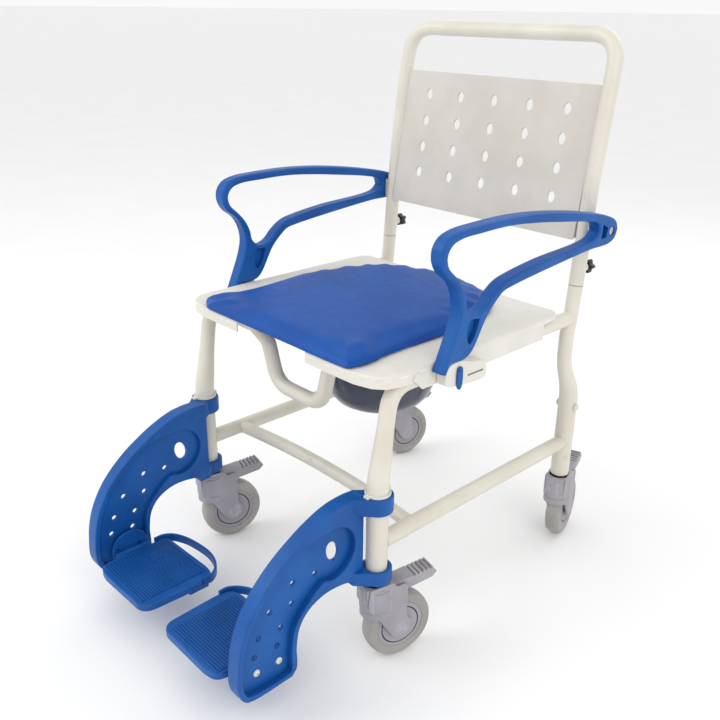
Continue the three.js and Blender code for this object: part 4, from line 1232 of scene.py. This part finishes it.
def caster_pedal():
    outline = caster_section("pedal", 9.0)[0]
    lever = slab([outline], "y", -PEDAL_HALF_WIDTH, PEDAL_HALF_WIDTH, roll=0.9, steps=2)
    tip = max(x for z, x in outline)
    grooves = []
    for k in range(6):
        x = tip - 6 - GROOVE_PITCH * k
        low, high = x - GROOVE_HALF, x + GROOVE_HALF
        floor_z = height_at(outline, x) - GROOVE_DEPTH
        sides = [(floor_z, low), (floor_z, high), (floor_z + 12, high), (floor_z + 12, low)]
        grooves.append(slab([sides], "y", -12.5, 12.5))
    pin = across([(0, -21), (3, -21), (3, 21), (0, 21)], 24, at=PEDAL_PIVOT)
    return joined(carved(lever, *grooves), painted(pin, 1))


def caster_stem():
    profile = [(0, 128), (4.4, 128), (5, 128.6), (5, 159.8), (16.4, 159.8), (17, 160.2), (17, 162.2)]
    profile += [(16.4, 162.6), (7.6, 162.6), (7.6, 206), (6.8, 207), (0, 207)]
    return turned(profile, 48)


for corner in CORNERS:
    place = caster_place(corner)
    finished("caster_stem_" + corner, moved(caster_stem(), place), ZINC_PLATE)
    finished("caster_housing_" + corner, moved(caster_housing(), place), GREY_PLASTIC, ZINC_PLATE)
    finished("caster_wheel_" + corner, moved(caster_wheel(), place), TREAD, GREY_PLASTIC, PAINTED_GAP_SHADE)
    finished("caster_pedal_" + corner, moved(caster_pedal(), place), GREY_PLASTIC, ZINC_PLATE)

# %% [markdown]
# The studio is a pale floor under a bright, even sky, with a large soft lamp high on the left and a fill on
# the right. The camera stands at the sitter's left front, looking down a little.


# %% Floor, lights and camera
def studio_floor():
    bm = bmesh.new()
    bmesh.ops.create_grid(bm, x_segments=1, y_segments=1, size=200)
    mesh = bpy.data.meshes.new("studio_floor")
    bm.to_mesh(mesh)
    bm.free()
    floor = bpy.data.objects.new("studio_floor", mesh)
    bpy.context.scene.collection.objects.link(floor)
    f = Finish("studio_floor_paint", Specular_IOR_Level=0.2)
    shade = f.mix(f.band(f.noise(3, 3), 0.3, 0.7), (0.9, 0.9, 0.9, 1), (0.915, 0.915, 0.915, 1))
    f.drive("Base Color", shade)
    f.drive("Roughness", f.noise(20, 3) * 0.1 + 0.6)
    floor.data.materials.append(f.material)
    floor.location.z = -0.0005


def softbox(name, location, target, width, height, watts):
    light = bpy.data.lights.new(name, "AREA")
    light.shape = "RECTANGLE"
    light.size, light.size_y = width, height
    light.energy = watts
    lamp = bpy.data.objects.new(name, light)
    lamp.location = location
    lamp.rotation_euler = (Vector(target) - Vector(location)).to_track_quat("-Z", "Y").to_euler()
    bpy.context.scene.collection.objects.link(lamp)


def studio_light():
    world = bpy.data.worlds.new("studio_sky")
    bpy.context.scene.world = world
    world.use_nodes = True
    background = world.node_tree.nodes["Background"]
    background.inputs["Color"].default_value = (1, 1, 1, 1)
    background.inputs["Strength"].default_value = 0.95
    softbox("key", (-1.6, -2.6, 2.8), (0, 0, 0.5), 2.2, 2.2, 40)
    softbox("fill", (2.8, -0.6, 1.8), (0, 0, 0.5), 2.0, 2.0, 18)
    softbox("back", (0.2, 2.6, 2.4), (0, 0, 0.6), 2.0, 1.4, 14)
    bpy.context.scene.view_settings.view_transform = "Standard"


def camera():
    azimuth, elevation, roll = math.radians(46.5), math.radians(22.73), math.radians(0.71)
    right = Vector((math.cos(azimuth), math.sin(azimuth), 0))
    level = math.cos(elevation)
    back = Vector((math.sin(azimuth) * level, -math.cos(azimuth) * level, math.sin(elevation)))
    up = back.cross(right)
    across = right * math.cos(roll) + up * math.sin(roll)
    upright = up * math.cos(roll) - right * math.sin(roll)
    data = bpy.data.cameras.new("camera")
    data.lens = 42.35
    data.sensor_width = 36
    eye = bpy.data.objects.new("camera", data)
    axes = Matrix((across, upright, back)).transposed().to_4x4()
    eye.matrix_world = Matrix.Translation((1.076, -1.0085, 1.054)) @ axes
    bpy.context.scene.collection.objects.link(eye)
    bpy.context.scene.camera = eye


studio_floor()
studio_light()
camera()
